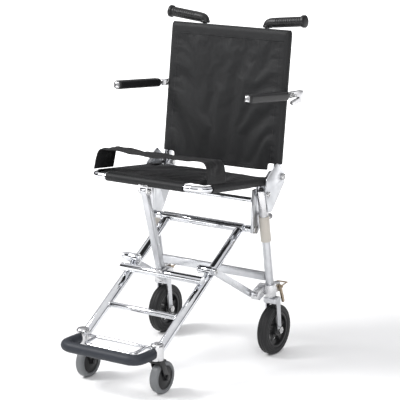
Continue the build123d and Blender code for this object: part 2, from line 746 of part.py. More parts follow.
# ================================================================ back
def back_route():
    """Corners of the back tube's axis."""
    a = back_at(-BACK_FOOT)
    b = back_at(BACK_HEIGHT)
    return [(-BACK_X, *a), (-BACK_X, *b), (BACK_X, *b), (BACK_X, *a)]


def back_frame():
    """One tube bent into an arch, drilled for its two pivot bolts."""
    tube = bent_rod(back_route(), BACK_R, BACK_BEND, BACK_R - 2)
    for side in (-1, 1):
        tube -= cross_rod(side * (BACK_X - 20), side * (BACK_X + 20), BACK_PIVOT, PIN_R + RUN)
    return tube


def back_end_plugs():
    plugs = []
    for side in (-1, 1):
        x = side * BACK_X
        cap = rod((x, *back_at(-BACK_FOOT - 3)), (x, *back_at(-BACK_FOOT - 0.1)), BACK_R)
        cap = fillet(cap.edges().filter_by(GeomType.CIRCLE).sort_by(Axis.Z)[0], 2.0)
        cap += rod((x, *back_at(-BACK_FOOT - 0.2)), (x, *back_at(-BACK_FOOT + 12)), BACK_R - 2.1)
        plugs.append(cap)
    return plugs


def back_cross_bar():
    """Tube between the back tubes, behind the cloth."""
    reach = BACK_X - BACK_R - 0.1
    return cross_rod(-reach, reach, back_at(CROSS_BAR_S, CROSS_BAR_OUT), 7, 5.5)


def back_sling():
    """Cloth stretched between the back tubes, with a sleeve on each."""
    outer = BACK_R + CLOTH_GAP + CLOTH_T
    inner = BACK_R + CLOTH_GAP
    top = BACK_HEIGHT - BACK_BEND - 2
    front = Pos(0, -outer + SLING_T / 2)
    section = front * Rectangle(2 * BACK_X, SLING_T)
    for side in (-1, 1):
        section += Pos(side * BACK_X, 0) * Circle(outer)
    for side in (-1, 1):
        section -= Pos(side * BACK_X, 0) * Circle(inner)
    body = extrude(back_plane(SLING_START) * section, amount=top - SLING_START)
    upper_face = front * Rectangle(2 * (BACK_X - 2), SLING_T)
    upper = extrude(back_plane(top - 1) * upper_face, amount=BACK_HEIGHT - top + 2)
    tail_face = front * Rectangle(2 * SLING_TAIL_X, SLING_T)
    tail = extrude(back_plane(SLING_TAIL) * tail_face, amount=SLING_START - SLING_TAIL + 1)
    # sleeve round the top bar
    reach = BACK_X - BACK_BEND
    hem = cross_rod(-reach, reach, back_at(BACK_HEIGHT), outer, inner)
    for side in (-1, 1):
        low = (side * STEM_X, *back_at(BACK_HEIGHT - 40, STEM_OFF))
        high = (side * STEM_X, *back_at(BACK_HEIGHT + 20, STEM_OFF))
        hem -= rod(low, high, STEM_CUT)
    body = body + upper + tail + hem
    for side in (-1, 1):
        at = back_at(ARM_PIVOT_S)
        body -= cross_rod(side * (BACK_X + 3), side * (BACK_X + 20), at, 10)
    body -= cross_rod(-BACK_X, BACK_X, back_at(CROSS_BAR_S, CROSS_BAR_OUT), 7.5)
    return body - bent_rod(back_route(), inner, BACK_BEND)


# ================================================================ armrests
def arm_at():
    return back_at(ARM_PIVOT_S)


def arm_stud():
    """Bolt from the back tube that the armrest flips up on."""
    at = arm_at()
    stud = cross_rod(BACK_X + BACK_R + 0.2, ARM_X + ARM_W + 1, at, PIN_R)
    stud += cross_rod(BACK_X + BACK_R + 0.2, ARM_X - GAP, at, 8)
    outer = ARM_X + HOOK_T + GAP
    return stud + cross_rod(outer, outer + 5, at, 7)


def arm_casting():
    """Hooked casting that carries the pad and turns on the stud."""
    y, z = arm_at()
    a = radians(ARM_RISE)
    front = (y - 20 * cos(a), z + 20 * sin(a))
    rear = (y + HOOK_BACK, z - 2)
    turn = (rear[0] - 8, z - 17)
    foot = (y + 14, z - 21)
    body = flat_bar(front, rear, HOOK_W, ARM_X, HOOK_T)
    body += flat_bar(rear, turn, HOOK_W - 2, ARM_X, HOOK_T)
    body += flat_bar(turn, foot, HOOK_W - 4, ARM_X, HOOK_T)
    return body - cross_rod(ARM_X - 5, ARM_X + 20, (y, z), PIN_R + RUN)


def arm_frame_plane():
    """Plane at the pad's rear end, looking along the pad."""
    y, z = arm_at()
    a = radians(ARM_RISE)
    return Plane(
        origin=(ARM_X + ARM_W / 2, y - PAD_START * cos(a), z + PAD_START * sin(a)),
        x_dir=(1, 0, 0), z_dir=(0, -cos(a), sin(a)),
    )


def arm_length():
    return arm_at()[0] - PAD_START - ARM_TIP


def arm_pad():
    """Moulded pad, crowned along its length."""
    length = arm_length() - CAP_LENGTH - 0.1
    return extrude(arm_frame_plane() * RectangleRounded(ARM_W, ARM_H, 7), amount=length)


def arm_cap():
    """Bright cap on the pad's front end."""
    plane = arm_frame_plane()
    start = plane.offset(arm_length() - CAP_LENGTH)
    return extrude(start * RectangleRounded(ARM_W + 0.4, ARM_H + 0.4, 7), amount=CAP_LENGTH)


# ================================================================ push handles
def stem_foot():
    return (STEM_X, *back_at(BACK_HEIGHT - 32, STEM_OFF))


def stem_top():
    return (STEM_X, *back_at(BACK_HEIGHT + 10, STEM_OFF))


def handle_socket():
    """Clamp on the top bar with the tube that the handle turns in."""
    tube = rod(stem_foot(), stem_top(), STEM_R + 3, STEM_R + RUN)
    bar = back_at(BACK_HEIGHT)
    behind = back_at(BACK_HEIGHT, STEM_OFF)
    lug = block((STEM_X - 9, bar[0], bar[1] - 7), (STEM_X + 9, behind[0], bar[1] + 7))
    lug -= cross_rod(STEM_X - 20, STEM_X + 20, back_at(BACK_HEIGHT), BACK_R + 0.1)
    body = tube + lug
    return body - rod(stem_foot(), (STEM_X, *back_at(BACK_HEIGHT + 40, STEM_OFF)), STEM_R + RUN)


def handle_stem():
    """Bright stem with an elbow out into the grip."""
    foot = (STEM_X, *back_at(BACK_HEIGHT - 30, STEM_OFF))
    rise = back_at(BACK_HEIGHT + 27, STEM_OFF)
    a = radians(GRIP_RISE)
    reach = GRIP_START + GRIP_LENGTH
    tip = (STEM_X + reach * cos(a), rise[0], rise[1] + reach * sin(a))
    points = [foot, (STEM_X, *rise), tip]
    return bent_rod(points, STEM_R, 10)


def grip_plane(s):
    rise = back_at(BACK_HEIGHT + 27, STEM_OFF)
    a = radians(GRIP_RISE)
    return Plane(
        origin=(STEM_X + s * cos(a), rise[0], rise[1] + s * sin(a)),
        z_dir=(cos(a), 0, sin(a)),
    )


def handle_grip():
    """Ribbed grip on the stem, with a flange at its outer end."""
    grip = extrude(grip_plane(GRIP_START) * Circle(GRIP_R), amount=GRIP_LENGTH + 3)
    grip += extrude(grip_plane(GRIP_START) * Circle(GRIP_R + 2), amount=4)
    flange = grip_plane(GRIP_START + GRIP_LENGTH - 4) * Circle(GRIP_R + GRIP_FLANGE)
    grip += extrude(flange, amount=7)
    hole = extrude(grip_plane(GRIP_START - 1) * Circle(STEM_R + RUN), amount=GRIP_LENGTH + 1.2)
    return grip - hole


def middle_y():
    """Middle of the chair's length, from the bumper to the armrest's hook."""
    rear = arm_at()[0] + HOOK_BACK + HOOK_W / 2
    return (BUMPER_Y - BUMPER_R + rear) / 2


def write(name, solid):
    solid = Pos(0, -middle_y(), 0) * solid
    solid.label = name
    export_step(solid, os.path.join("parts", name + ".step"))


def main():
    os.makedirs("parts", exist_ok=True)
    pairs = {
        "rear_leg": rear_leg(),
        "brake_lever": brake_lever(),
        "lock_knob": lock_knob(),
        "rear_tyre": rear_tyre(),
        "rear_hub": rear_hub(),
        "ladder_tube": ladder_tube(),
        "brace": brace() + brace_foot_bolt(),
        "caster_fork": Compound(children=[caster_fork(), caster_bolt()]),
        "caster_tyre": caster_tyre(),
        "caster_core": caster_core(),
        "arm_pad": arm_pad(),
        "arm_cap": arm_cap(),
        "arm_casting": arm_casting(),
        "handle_stem": handle_stem(),
        "handle_grip": handle_grip(),
    }
    groups = {
        "leg_sockets": [leg_socket(), lock_housing()],
        "leg_sleeves": [leg_sleeve()],
        "side_plates": [side_plate()],
        "hinge_cheeks": [hinge_cheek()],
        "wheel_forks": [wheel_fork()],
        "foot_castings": [foot_casting(), brake_block()],
        "pivot_bolts": [seat_pin(), back_bolt(), rear_axle_bolt(), *back_spacers()],
        "seat_stops": [seat_stop()],
        "knee_barrels": [knee_barrel(), knee_bolt()],
        "caster_housings": [caster_housing()],
        "arm_studs": [arm_stud()],
        "handle_sockets": [handle_socket()],
    }
    singles = {
        "under_seat_tube": under_tube(),
        "ladder_axle": ladder_axle(),
        "rear_cross_bar": rear_cross_bar(),
        "ladder_top_tube": ladder_top_tube(),
        "wide_bar": wide_bar(),
        "rung": rung(),
        "foot_bumper": foot_bumper(),
        "heel_loop": heel_loop(),
        "seat_frame": Compound(children=[seat_frame(), *seat_end_plugs()]),
        "seat_sling": seat_sling(),
        "seat_belt": seat_belt(),
        "clevis": clevis(),
        "clevis_pin": clevis_pin(),
        "strut": strut(),
        "strut_shoe": strut_shoe(),
        "back_frame": Compound(children=[back_frame(), *back_end_plugs()]),
        "back_cross_bar": back_cross_bar(),
        "back_sling": back_sling(),
    }
    for name, solid in pairs.items():
        write(name + "_right", solid)
        write(name + "_left", mirror(solid, about=Plane.YZ))
    for name, right in groups.items():
        write(name, Compound(children=right + [mirror(s, about=Plane.YZ) for s in right]))
    for name, solid in singles.items():
        write(name, solid)


main()
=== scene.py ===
# %% [markdown]
# # A folding transport chair: cloth, rubber and bright tube around a fixed frame
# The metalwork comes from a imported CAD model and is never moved. This lesson gives every part
# of it a finish, builds the soft pieces that CAD can't make (the stretched back, the seat and
# its belt, the foam bumper) and adds the small hardware that the eye looks for.
# Everything is in metres: +Z is up, the chair faces -Y, and X runs across it.

# %% Load the frame
import json
from math import ceil, cos, exp, pi, radians, sin, sqrt

import bmesh
import bpy
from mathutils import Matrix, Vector, noise


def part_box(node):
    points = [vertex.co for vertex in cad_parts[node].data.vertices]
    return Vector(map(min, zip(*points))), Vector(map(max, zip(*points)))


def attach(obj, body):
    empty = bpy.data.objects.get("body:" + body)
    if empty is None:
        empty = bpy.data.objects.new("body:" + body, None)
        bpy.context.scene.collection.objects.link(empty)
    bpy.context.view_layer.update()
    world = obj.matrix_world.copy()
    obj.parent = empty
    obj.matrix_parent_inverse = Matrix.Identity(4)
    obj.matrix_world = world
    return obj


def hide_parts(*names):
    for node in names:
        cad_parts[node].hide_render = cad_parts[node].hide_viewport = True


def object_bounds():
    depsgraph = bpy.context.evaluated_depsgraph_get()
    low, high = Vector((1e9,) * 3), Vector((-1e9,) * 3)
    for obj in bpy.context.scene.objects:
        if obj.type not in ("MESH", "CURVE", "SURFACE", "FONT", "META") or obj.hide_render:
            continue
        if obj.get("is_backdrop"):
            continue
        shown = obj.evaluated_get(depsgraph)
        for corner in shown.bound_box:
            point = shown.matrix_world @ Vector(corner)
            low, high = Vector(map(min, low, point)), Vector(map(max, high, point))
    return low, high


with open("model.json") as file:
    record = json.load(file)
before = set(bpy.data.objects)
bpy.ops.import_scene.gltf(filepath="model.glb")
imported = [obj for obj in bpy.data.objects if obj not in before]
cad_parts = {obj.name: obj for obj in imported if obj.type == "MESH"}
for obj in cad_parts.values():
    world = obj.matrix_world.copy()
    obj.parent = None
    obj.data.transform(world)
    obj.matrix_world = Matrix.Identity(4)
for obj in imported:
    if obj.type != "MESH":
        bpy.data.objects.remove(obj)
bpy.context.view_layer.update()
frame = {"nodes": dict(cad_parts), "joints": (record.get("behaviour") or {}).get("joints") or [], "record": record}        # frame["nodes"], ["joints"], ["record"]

nodes = frame["nodes"]
pivots = {j["name"]: Vector(j["pos_m"]) for j in frame["joints"] if "pos_m" in j}
slot_of = {p["node"]: p["material_slot"] for p in frame["record"]["subparts"]}

# %% [markdown]
# ## Where things are
# The back and the seat are both tilted planes, so each gets a small function that turns
# "across, along, off the surface" into a point. The tilt of the back is read from the frame:
# its pivot is a joint, and its top bar is the highest and rearmost tube of the node's box.

# %% Two tilted planes
TUBE_BACK = 0.010        # radius of the back's tube
TUBE_SEAT = 0.008        # radius of the seat's tube
CLOTH_OFF = 0.0023       # cloth's outer face above the tube it is sleeved on

back_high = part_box("back_frame")[1]
seat_low, seat_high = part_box("seat_frame")
back_foot = pivots["back_fold"]
back_rise = Vector((0, back_high.y - TUBE_BACK - back_foot.y, back_high.z - TUBE_BACK - back_foot.z))
back_height = back_rise.length
back_up = back_rise.normalized()
back_out = Vector((0, -back_up.z, back_up.y))        # towards the sitter
BACK_X = back_high.x - TUBE_BACK

SEAT_SLOPE = radians(6.1)                             # the seat falls towards the back
seat_front = Vector((0, seat_low.y + TUBE_SEAT, seat_high.z - TUBE_SEAT))
seat_along = Vector((0, cos(SEAT_SLOPE), -sin(SEAT_SLOPE)))
seat_up = Vector((0, sin(SEAT_SLOPE), cos(SEAT_SLOPE)))
SEAT_X = seat_high.x - TUBE_SEAT
SEAT_LENGTH = (seat_high.y - seat_front.y) / cos(SEAT_SLOPE)


def on_back(x, s, out=0.0):
    """Across, up from the back's pivot, and off it towards the sitter."""
    return back_foot + Vector((x, 0, 0)) + back_up * s + back_out * out


def on_seat(x, s, up=0.0):
    """Across, back from the front bar's axis, and off the seat."""
    return seat_front + Vector((x, 0, 0)) + seat_along * s + seat_up * up


print(f"back {back_height:.3f} m tall, seat {SEAT_LENGTH:.3f} m long")

# %% [markdown]
# ## Shader groups
# Four effects turn up on more than one material, so each is a node group made once: the fine
# lines of brushed or drawn metal, the smudges and specks of handling, the threads of a weave and
# the dimples of moulded plastic. A group only hands out values and normals; the Principled
# shader stays in the material.


# %% A helper for node groups
def new_group(name, inputs, outputs):
    """A shader node group with float or vector inputs, and its two end nodes."""
    group = bpy.data.node_groups.new(name, "ShaderNodeTree")
    for label, value in inputs.items():
        kind = "NodeSocketVector" if isinstance(value, tuple) else "NodeSocketFloat"
        socket = group.interface.new_socket(label, in_out="INPUT", socket_type=kind)
        socket.default_value = value
    for label in outputs:
        kind = "NodeSocketVector" if label == "Normal" else "NodeSocketFloat"
        group.interface.new_socket(label, in_out="OUTPUT", socket_type=kind)
    start = group.nodes.new("NodeGroupInput")
    end = group.nodes.new("NodeGroupOutput")
    return group, start, end


def place(tree, kind, **settings):
    """A new node with its properties and input values set."""
    node = tree.nodes.new(kind)
    for key, value in settings.items():
        if hasattr(node, key):
            setattr(node, key, value)
        else:
            node.inputs[key.replace("_", " ").title()].default_value = value
    return node


def join(tree, *pairs):
    for a, b in pairs:
        tree.links.new(a, b)


print("group helpers ready")


# %% [markdown]
# ### Brushed and drawn metal
# Drawn tube and brushed bar carry fine lines along one direction. Noise whose coordinates are
# stretched a hundredfold one way makes them, and a Bump turns them into a normal.


# %% Brushing
def brushing_group():
    group, start, end = new_group(
        "Brushing", {"Stretch": (900.0, 40.0, 900.0), "Depth": 0.2}, ["Mask", "Normal"]
    )
    where = group.nodes.new("ShaderNodeTexCoord")
    scaled = place(group, "ShaderNodeVectorMath", operation="MULTIPLY")
    lines = place(group, "ShaderNodeTexNoise", scale=1.0, detail=3.0, roughness=0.6)
    bump = place(group, "ShaderNodeBump", distance=0.0003)
    join(
        group,
        (where.outputs["Object"], scaled.inputs[0]),
        (start.outputs["Stretch"], scaled.inputs[1]),
        (scaled.outputs[0], lines.inputs["Vector"]),
        (lines.outputs[0], bump.inputs["Height"]),
        (start.outputs["Depth"], bump.inputs["Strength"]),
        (lines.outputs[0], end.inputs["Mask"]),
        (bump.outputs["Normal"], end.inputs["Normal"]),
    )
    return group


brushing = brushing_group()
print(brushing.name, [s.name for s in brushing.interface.items_tree])


# %% [markdown]
# ### Marks of handling
# Clean metal and plastic still carry broad smudges and a few specks. Two noises at different
# sizes, each pushed through a steep ramp, give one mask for each.


# %% Handling marks
def marks_group():
    group, start, end = new_group(
        "Handling marks", {"Size": 0.05, "Amount": 0.5}, ["Smudge", "Speck"]
    )
    where = group.nodes.new("ShaderNodeTexCoord")
    rate = place(group, "ShaderNodeMath", operation="DIVIDE")
    rate.inputs[0].default_value = 1.0
    broad = place(group, "ShaderNodeTexNoise", detail=4.0, roughness=0.55)
    fine_rate = place(group, "ShaderNodeMath", operation="MULTIPLY")
    fine_rate.inputs[1].default_value = 22.0
    fine = place(group, "ShaderNodeTexNoise", detail=2.0)
    smudge = place(group, "ShaderNodeMapRange")
    smudge.inputs["From Min"].default_value = 0.42
    smudge.inputs["From Max"].default_value = 0.68
    speck = place(group, "ShaderNodeMapRange")
    speck.inputs["From Min"].default_value = 0.66
    speck.inputs["From Max"].default_value = 0.74
    join(
        group,
        (start.outputs["Size"], rate.inputs[1]),
        (where.outputs["Object"], broad.inputs["Vector"]),
        (where.outputs["Object"], fine.inputs["Vector"]),
        (rate.outputs[0], broad.inputs["Scale"]),
        (rate.outputs[0], fine_rate.inputs[0]),
        (fine_rate.outputs[0], fine.inputs["Scale"]),
        (broad.outputs[0], smudge.inputs["Value"]),
        (fine.outputs[0], speck.inputs["Value"]),
        (start.outputs["Amount"], smudge.inputs["To Max"]),
        (start.outputs["Amount"], speck.inputs["To Max"]),
        (smudge.outputs[0], end.inputs["Smudge"]),
        (speck.outputs[0], end.inputs["Speck"]),
    )
    return group


marks = marks_group()
print(marks.name, "made")


# %% [markdown]
# ### Threads of a weave
# A plain weave is two sine waves crossed at right angles. The across direction is always X; the
# other follows the panel, so it is an input. Noise bends the threads a little, because a row of
# perfect threads reads as a printed pattern.


# %% Weave
def weave_group():
    group, start, end = new_group(
        "Weave",
        {"Along": (0.0, 0.0, 1.0), "Threads Per Metre": 1500.0, "Depth": 0.3, "Crease": 0.4},
        ["Height", "Shade", "Normal"],
    )
    where = group.nodes.new("ShaderNodeTexCoord")
    parts = group.nodes.new("ShaderNodeSeparateXYZ")
    down = place(group, "ShaderNodeVectorMath", operation="DOT_PRODUCT")
    waves = []
    for source in (parts.outputs["X"], down.outputs["Value"]):
        count = place(group, "ShaderNodeMath", operation="MULTIPLY")
        wave = place(group, "ShaderNodeMath", operation="SINE")
        join(
            group,
            (source, count.inputs[0]),
            (start.outputs["Threads Per Metre"], count.inputs[1]),
            (count.outputs[0], wave.inputs[0]),
        )
        waves.append(wave)
    threads = place(group, "ShaderNodeMath", operation="MULTIPLY")
    crease = place(group, "ShaderNodeTexNoise", scale=38.0, detail=5.0, roughness=0.62)
    crease_share = place(group, "ShaderNodeMath", operation="MULTIPLY")
    total = place(group, "ShaderNodeMath", operation="MULTIPLY_ADD")
    total.inputs[1].default_value = 0.12
    bump = place(group, "ShaderNodeBump", distance=0.002)
    join(
        group,
        (where.outputs["Object"], parts.inputs[0]),
        (where.outputs["Object"], down.inputs[0]),
        (start.outputs["Along"], down.inputs[1]),
        (where.outputs["Object"], crease.inputs["Vector"]),
        (waves[0].outputs[0], threads.inputs[0]),
        (waves[1].outputs[0], threads.inputs[1]),
        (crease.outputs[0], crease_share.inputs[0]),
        (start.outputs["Crease"], crease_share.inputs[1]),
        (threads.outputs[0], total.inputs[0]),
        (crease_share.outputs[0], total.inputs[2]),
        (total.outputs[0], bump.inputs["Height"]),
        (start.outputs["Depth"], bump.inputs["Strength"]),
        (total.outputs[0], end.inputs["Height"]),
        (crease.outputs[0], end.inputs["Shade"]),
        (bump.outputs["Normal"], end.inputs["Normal"]),
    )
    return group


weave = weave_group()
print(weave.name, "made")


# %% [markdown]
# ### Moulded skin
# Tyres, grips and pads leave a mould that was etched with fine dimples. Voronoi cells at under
# a millimetre give the dimples, and a slow noise keeps the gloss from being even.


# %% Moulded skin
def moulded_group():
    group, start, end = new_group(
        "Moulded skin", {"Cells Per Metre": 1400.0, "Depth": 0.25}, ["Dimple", "Patch", "Normal"]
    )
    where = group.nodes.new("ShaderNodeTexCoord")
    cells = place(group, "ShaderNodeTexVoronoi", feature="SMOOTH_F1")
    patch = place(group, "ShaderNodeTexNoise", scale=24.0, detail=4.0)
    bump = place(group, "ShaderNodeBump", distance=0.0006)
    join(
        group,
        (where.outputs["Object"], cells.inputs["Vector"]),
        (start.outputs["Cells Per Metre"], cells.inputs["Scale"]),
        (where.outputs["Object"], patch.inputs["Vector"]),
        (cells.outputs["Distance"], bump.inputs["Height"]),
        (start.outputs["Depth"], bump.inputs["Strength"]),
        (cells.outputs["Distance"], end.inputs["Dimple"]),
        (patch.outputs[0], end.inputs["Patch"]),
        (bump.outputs["Normal"], end.inputs["Normal"]),
    )
    return group


moulded = moulded_group()
print(moulded.name, "made")

# %% [markdown]
# ## Materials
# Each material is one Principled shader fed by the groups. Three small makers cover the three
# families: metal, plastic or rubber, and cloth. What changes from one to the next is colour,
# gloss, the size of its texture and how worn it looks.


# %% Makers for metal, plastic and cloth
def new_material(name):
    material = bpy.data.materials.new(name)
    material.use_nodes = True
    return material, material.node_tree, material.node_tree.nodes["Principled BSDF"]


def add_group(tree, group, **values):
    node = tree.nodes.new("ShaderNodeGroup")
    node.node_tree = group
    for key, value in values.items():
        node.inputs[key.replace("_", " ").title()].default_value = value
    return node


def tint(tree, factor, light, dark, target):
    """Mixes two colours by a mask and feeds a colour input."""
    mix = tree.nodes.new("ShaderNodeMix")
    mix.data_type = "RGBA"
    mix.inputs[6].default_value = (*light, 1)
    mix.inputs[7].default_value = (*dark, 1)
    join(tree, (factor, mix.inputs[0]), (mix.outputs[2], target))


def between(tree, value, low, high, target):
    """Feeds an input with a value spread from low to high."""
    spread = tree.nodes.new("ShaderNodeMapRange")
    spread.inputs["To Min"].default_value = low
    spread.inputs["To Max"].default_value = high
    join(tree, (value, spread.inputs["Value"]), (spread.outputs[0], target))


def metal(name, light, dark, gloss, stretch, depth, mark_size=0.05):
    """gloss is the lowest and highest roughness; stretch is lines per metre on each axis."""
    material, tree, shader = new_material(name)
    shader.inputs["Metallic"].default_value = 1.0
    lines = add_group(tree, brushing, stretch=stretch, depth=depth)
    worn = add_group(tree, marks, size=mark_size, amount=1.0)
    gloss_mix = place(tree, "ShaderNodeMath", operation="MULTIPLY_ADD")
    gloss_mix.inputs[1].default_value = 0.5
    half = place(tree, "ShaderNodeMath", operation="MULTIPLY")
    half.inputs[1].default_value = 0.5
    join(
        tree,
        (worn.outputs["Smudge"], gloss_mix.inputs[0]),
        (lines.outputs["Mask"], half.inputs[0]),
        (half.outputs[0], gloss_mix.inputs[2]),
        (lines.outputs["Normal"], shader.inputs["Normal"]),
    )
    between(tree, gloss_mix.outputs[0], *gloss, shader.inputs["Roughness"])
    tint(tree, worn.outputs["Smudge"], light, dark, shader.inputs["Base Color"])
    return material


def plastic(name, light, dark, gloss, cells, depth, specular=0.38):
    material, tree, shader = new_material(name)
    shader.inputs["Specular IOR Level"].default_value = specular
    skin = add_group(tree, moulded, cells_per_metre=cells, depth=depth)
    join(tree, (skin.outputs["Normal"], shader.inputs["Normal"]))
    between(tree, skin.outputs["Patch"], *gloss, shader.inputs["Roughness"])
    tint(tree, skin.outputs["Patch"], light, dark, shader.inputs["Base Color"])
    return material


def cloth(name, light, dark, gloss, along, threads, depth, crease, sheen):
    material, tree, shader = new_material(name)
    shader.inputs["Sheen Weight"].default_value = sheen
    shader.inputs["Specular IOR Level"].default_value = 0.28
    shader.inputs["Sheen Roughness"].default_value = 0.35
    woven = add_group(
        tree, weave, along=along, threads_per_metre=threads, depth=depth, crease=crease
    )
    join(tree, (woven.outputs["Normal"], shader.inputs["Normal"]))
    between(tree, woven.outputs["Shade"], *gloss, shader.inputs["Roughness"])
    tint(tree, woven.outputs["Shade"], light, dark, shader.inputs["Base Color"])
    return material


print("three makers ready")

# %% [markdown]
# ### The metals
# The tubes are bright chrome or polished aluminium: almost no roughness, faint drawn lines.
# The flat bars, legs and prop are brushed aluminium with a satin look. Castings were tumbled, so
# they have no direction, and the brake wire has a yellow passivated coat.

# %% Metals
FINE = 1200.0            # lines per metre across the brushing
SLOW = 30.0              # and along it
finishes = {
    "chrome_tube": metal(
        "Bright tube", (0.74, 0.75, 0.77), (0.62, 0.63, 0.66), (0.05, 0.15), (FINE, SLOW, FINE), 0.04
    ),
    "satin_aluminium": metal(
        "Satin aluminium", (0.62, 0.63, 0.65), (0.50, 0.51, 0.53), (0.24, 0.40), (FINE, SLOW, SLOW), 0.16
    ),
    "cast_aluminium": metal(
        "Tumbled casting", (0.66, 0.66, 0.67), (0.52, 0.52, 0.53), (0.20, 0.36), (700, 700, 700), 0.22
    ),
    "steel_fixings": metal(
        "Plated fixings", (0.60, 0.60, 0.60), (0.45, 0.45, 0.45), (0.14, 0.30), (500, FINE, FINE), 0.10, 0.02
    ),
    "bronze_wire": metal(
        "Passivated wire", (0.42, 0.34, 0.25), (0.30, 0.24, 0.17), (0.22, 0.40), (600, 600, 600), 0.15, 0.01
    ),
}
print(sorted(finishes))

# %% [markdown]
# ### Rubber, plastic and foam
# Black parts are never all the same black. The pads have a soft sheen, the wheels are harder and
# shinier, the tyres are dull, and the bumper's skin is a dark blue-grey foam.

# %% Plastics and rubbers
SOFT_BLACK = (0.007, 0.007, 0.0075), (0.012, 0.012, 0.013)
HARD_BLACK = (0.006, 0.006, 0.0065), (0.011, 0.011, 0.012)
DEEP_BLACK = (0.005, 0.005, 0.0055), (0.010, 0.010, 0.0105)
TREAD_GREY = (0.185, 0.192, 0.198), (0.140, 0.146, 0.152)
KNOB_GREY = (0.24, 0.24, 0.25), (0.18, 0.18, 0.19)
FOAM_BLUE = (0.016, 0.019, 0.026), (0.024, 0.028, 0.037)
MILKY = (0.52, 0.49, 0.44), (0.44, 0.41, 0.37)
# slot, name, the two colours, lowest and highest roughness, dimples per metre, their depth
PLASTICS = (
    ("pad_plastic", "Pad skin", SOFT_BLACK, (0.36, 0.50), 1500, 0.25),
    ("wheel_plastic", "Wheel moulding", HARD_BLACK, (0.26, 0.40), 900, 0.10),
    ("black_tyre", "Tyre rubber", SOFT_BLACK, (0.42, 0.58), 1600, 0.30),
    ("grey_tyre", "Grey tread", TREAD_GREY, (0.38, 0.55), 1300, 0.12),
    ("black_rubber", "Grip rubber", DEEP_BLACK, (0.30, 0.46), 1100, 0.35),
    ("bumper_foam", "Bumper skin", FOAM_BLUE, (0.46, 0.62), 700, 0.45),
    ("clear_sleeve", "Milky sleeve", MILKY, (0.22, 0.38), 500, 0.10),
    ("grey_knob", "Grey knob", KNOB_GREY, (0.30, 0.44), 1200, 0.15),
)
for slot, name, colours, gloss, cells, depth in PLASTICS:
    finishes[slot] = plastic(name, *colours, gloss, cells, depth)
print(len(finishes), "finishes so far")

# %% [markdown]
# ### Cloth
# The back and the seat are tightly woven black nylon with a faint shine; the belt is heavier
# webbing, so its threads are coarser and its sheen lower. The back's threads run up the back
# and the seat's run along the seat, so each has its own along direction.

# %% Cloths
NYLON = (0.0075, 0.0078, 0.0085), (0.0115, 0.0118, 0.0128)
NYLON_LOOK = dict(threads=5200, depth=0.30, crease=0.35, sheen=0.03)
WEBBING = (0.006, 0.006, 0.0065), (0.011, 0.011, 0.0115)
WEBBING_LOOK = dict(threads=2400, depth=0.50, crease=0.45, sheen=0.03)
back_nylon = cloth("Back nylon", *NYLON, (0.46, 0.62), tuple(back_up), **NYLON_LOOK)
finishes["black_cloth"] = cloth("Seat nylon", *NYLON, (0.46, 0.62), tuple(seat_along), **NYLON_LOOK)
finishes["black_webbing"] = cloth(
    "Belt webbing", *WEBBING, (0.50, 0.68), tuple(seat_along), **WEBBING_LOOK
)
thread = plastic("Sewing thread", (0.040, 0.040, 0.042), (0.028, 0.028, 0.030), (0.4, 0.6), 3000, 0.5)
print("cloths:", back_nylon.name, finishes["black_cloth"].name, finishes["black_webbing"].name)

# %% [markdown]
# ## Finishes on the CAD parts
# Every node that stays visible takes the finish its material slot names. Sharp edges keep their
# crease and the rest is shaded smooth; a thin bevel on the metal catches the light on edges, as
# a deburred edge does, without changing any size.

# %% Paint the CAD nodes
SMOOTH_ANGLE = radians(35)
EDGE_BREAK = 0.0004      # bevel on sheared and cast edges
REPLACED = {
    "back_sling", "seat_sling", "seat_belt", "foot_bumper", "seat_stops",
    "handle_grip_right", "handle_grip_left", "arm_pad_right", "arm_pad_left",
    "arm_cap_right", "arm_cap_left",
    "rear_tyre_right", "rear_tyre_left", "caster_tyre_right", "caster_tyre_left",
}
for name, node in nodes.items():
    node.data.materials.clear()
    node.data.materials.append(finishes[slot_of[name]])
    for face in node.data.polygons:
        face.use_smooth = True
    if name not in REPLACED:
        weld = node.modifiers.new("Weld", "WELD")
        weld.merge_threshold = 0.00002
        bevel = node.modifiers.new("Edge break", "BEVEL")
        bevel.width = EDGE_BREAK
        bevel.segments = 2
        bevel.limit_method = "ANGLE"
        bevel.angle_limit = SMOOTH_ANGLE
        bevel.use_clamp_overlap = True
        bevel.harden_normals = True
print("painted", len(nodes) - len(REPLACED), "nodes")

# %% [markdown]
# ## Mesh helpers
# Three shapes come up again and again: a profile turned round an axle (tyres, grips, bolt
# heads), a round section swept along a path (bumper, welds) and a rectangular grid (cloth).


# %% Helpers: object, turned ring and sweep
def add_mesh(name, verts, faces, finish, body=None, slot=None):
    mesh = bpy.data.meshes.new(name)
    mesh.from_pydata([tuple(v) for v in verts], [], faces)
    mesh.validate()
    mesh.polygons.foreach_set("use_smooth", [True] * len(mesh.polygons))
    mesh.materials.append(finish)
    piece = bpy.data.objects.new(name, mesh)
    bpy.context.scene.collection.objects.link(piece)
    if body:
        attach(piece, body)
    return piece


def square_to(axis):
    """Two directions square to an axis and to each other."""
    axis = axis.normalized()
    side = axis.orthogonal().normalized()
    return side, axis.cross(side)


def turned(profile, centre, axis, steps=64, closed=True):
    """Points and faces of a profile (radius, along) turned about an axis."""
    axis = axis.normalized()
    a, b = square_to(axis)
    verts, faces = [], []
    for i in range(steps):
        angle = 2 * pi * i / steps
        spoke = a * cos(angle) + b * sin(angle)
        verts += [centre + spoke * r + axis * t for r, t in profile]
    count = len(profile)
    last = count if closed else count - 1
    for i in range(steps):
        j = (i + 1) % steps
        for k in range(last):
            m = (k + 1) % count
            faces.append((i * count + k, j * count + k, j * count + m, i * count + m))
    return verts, faces


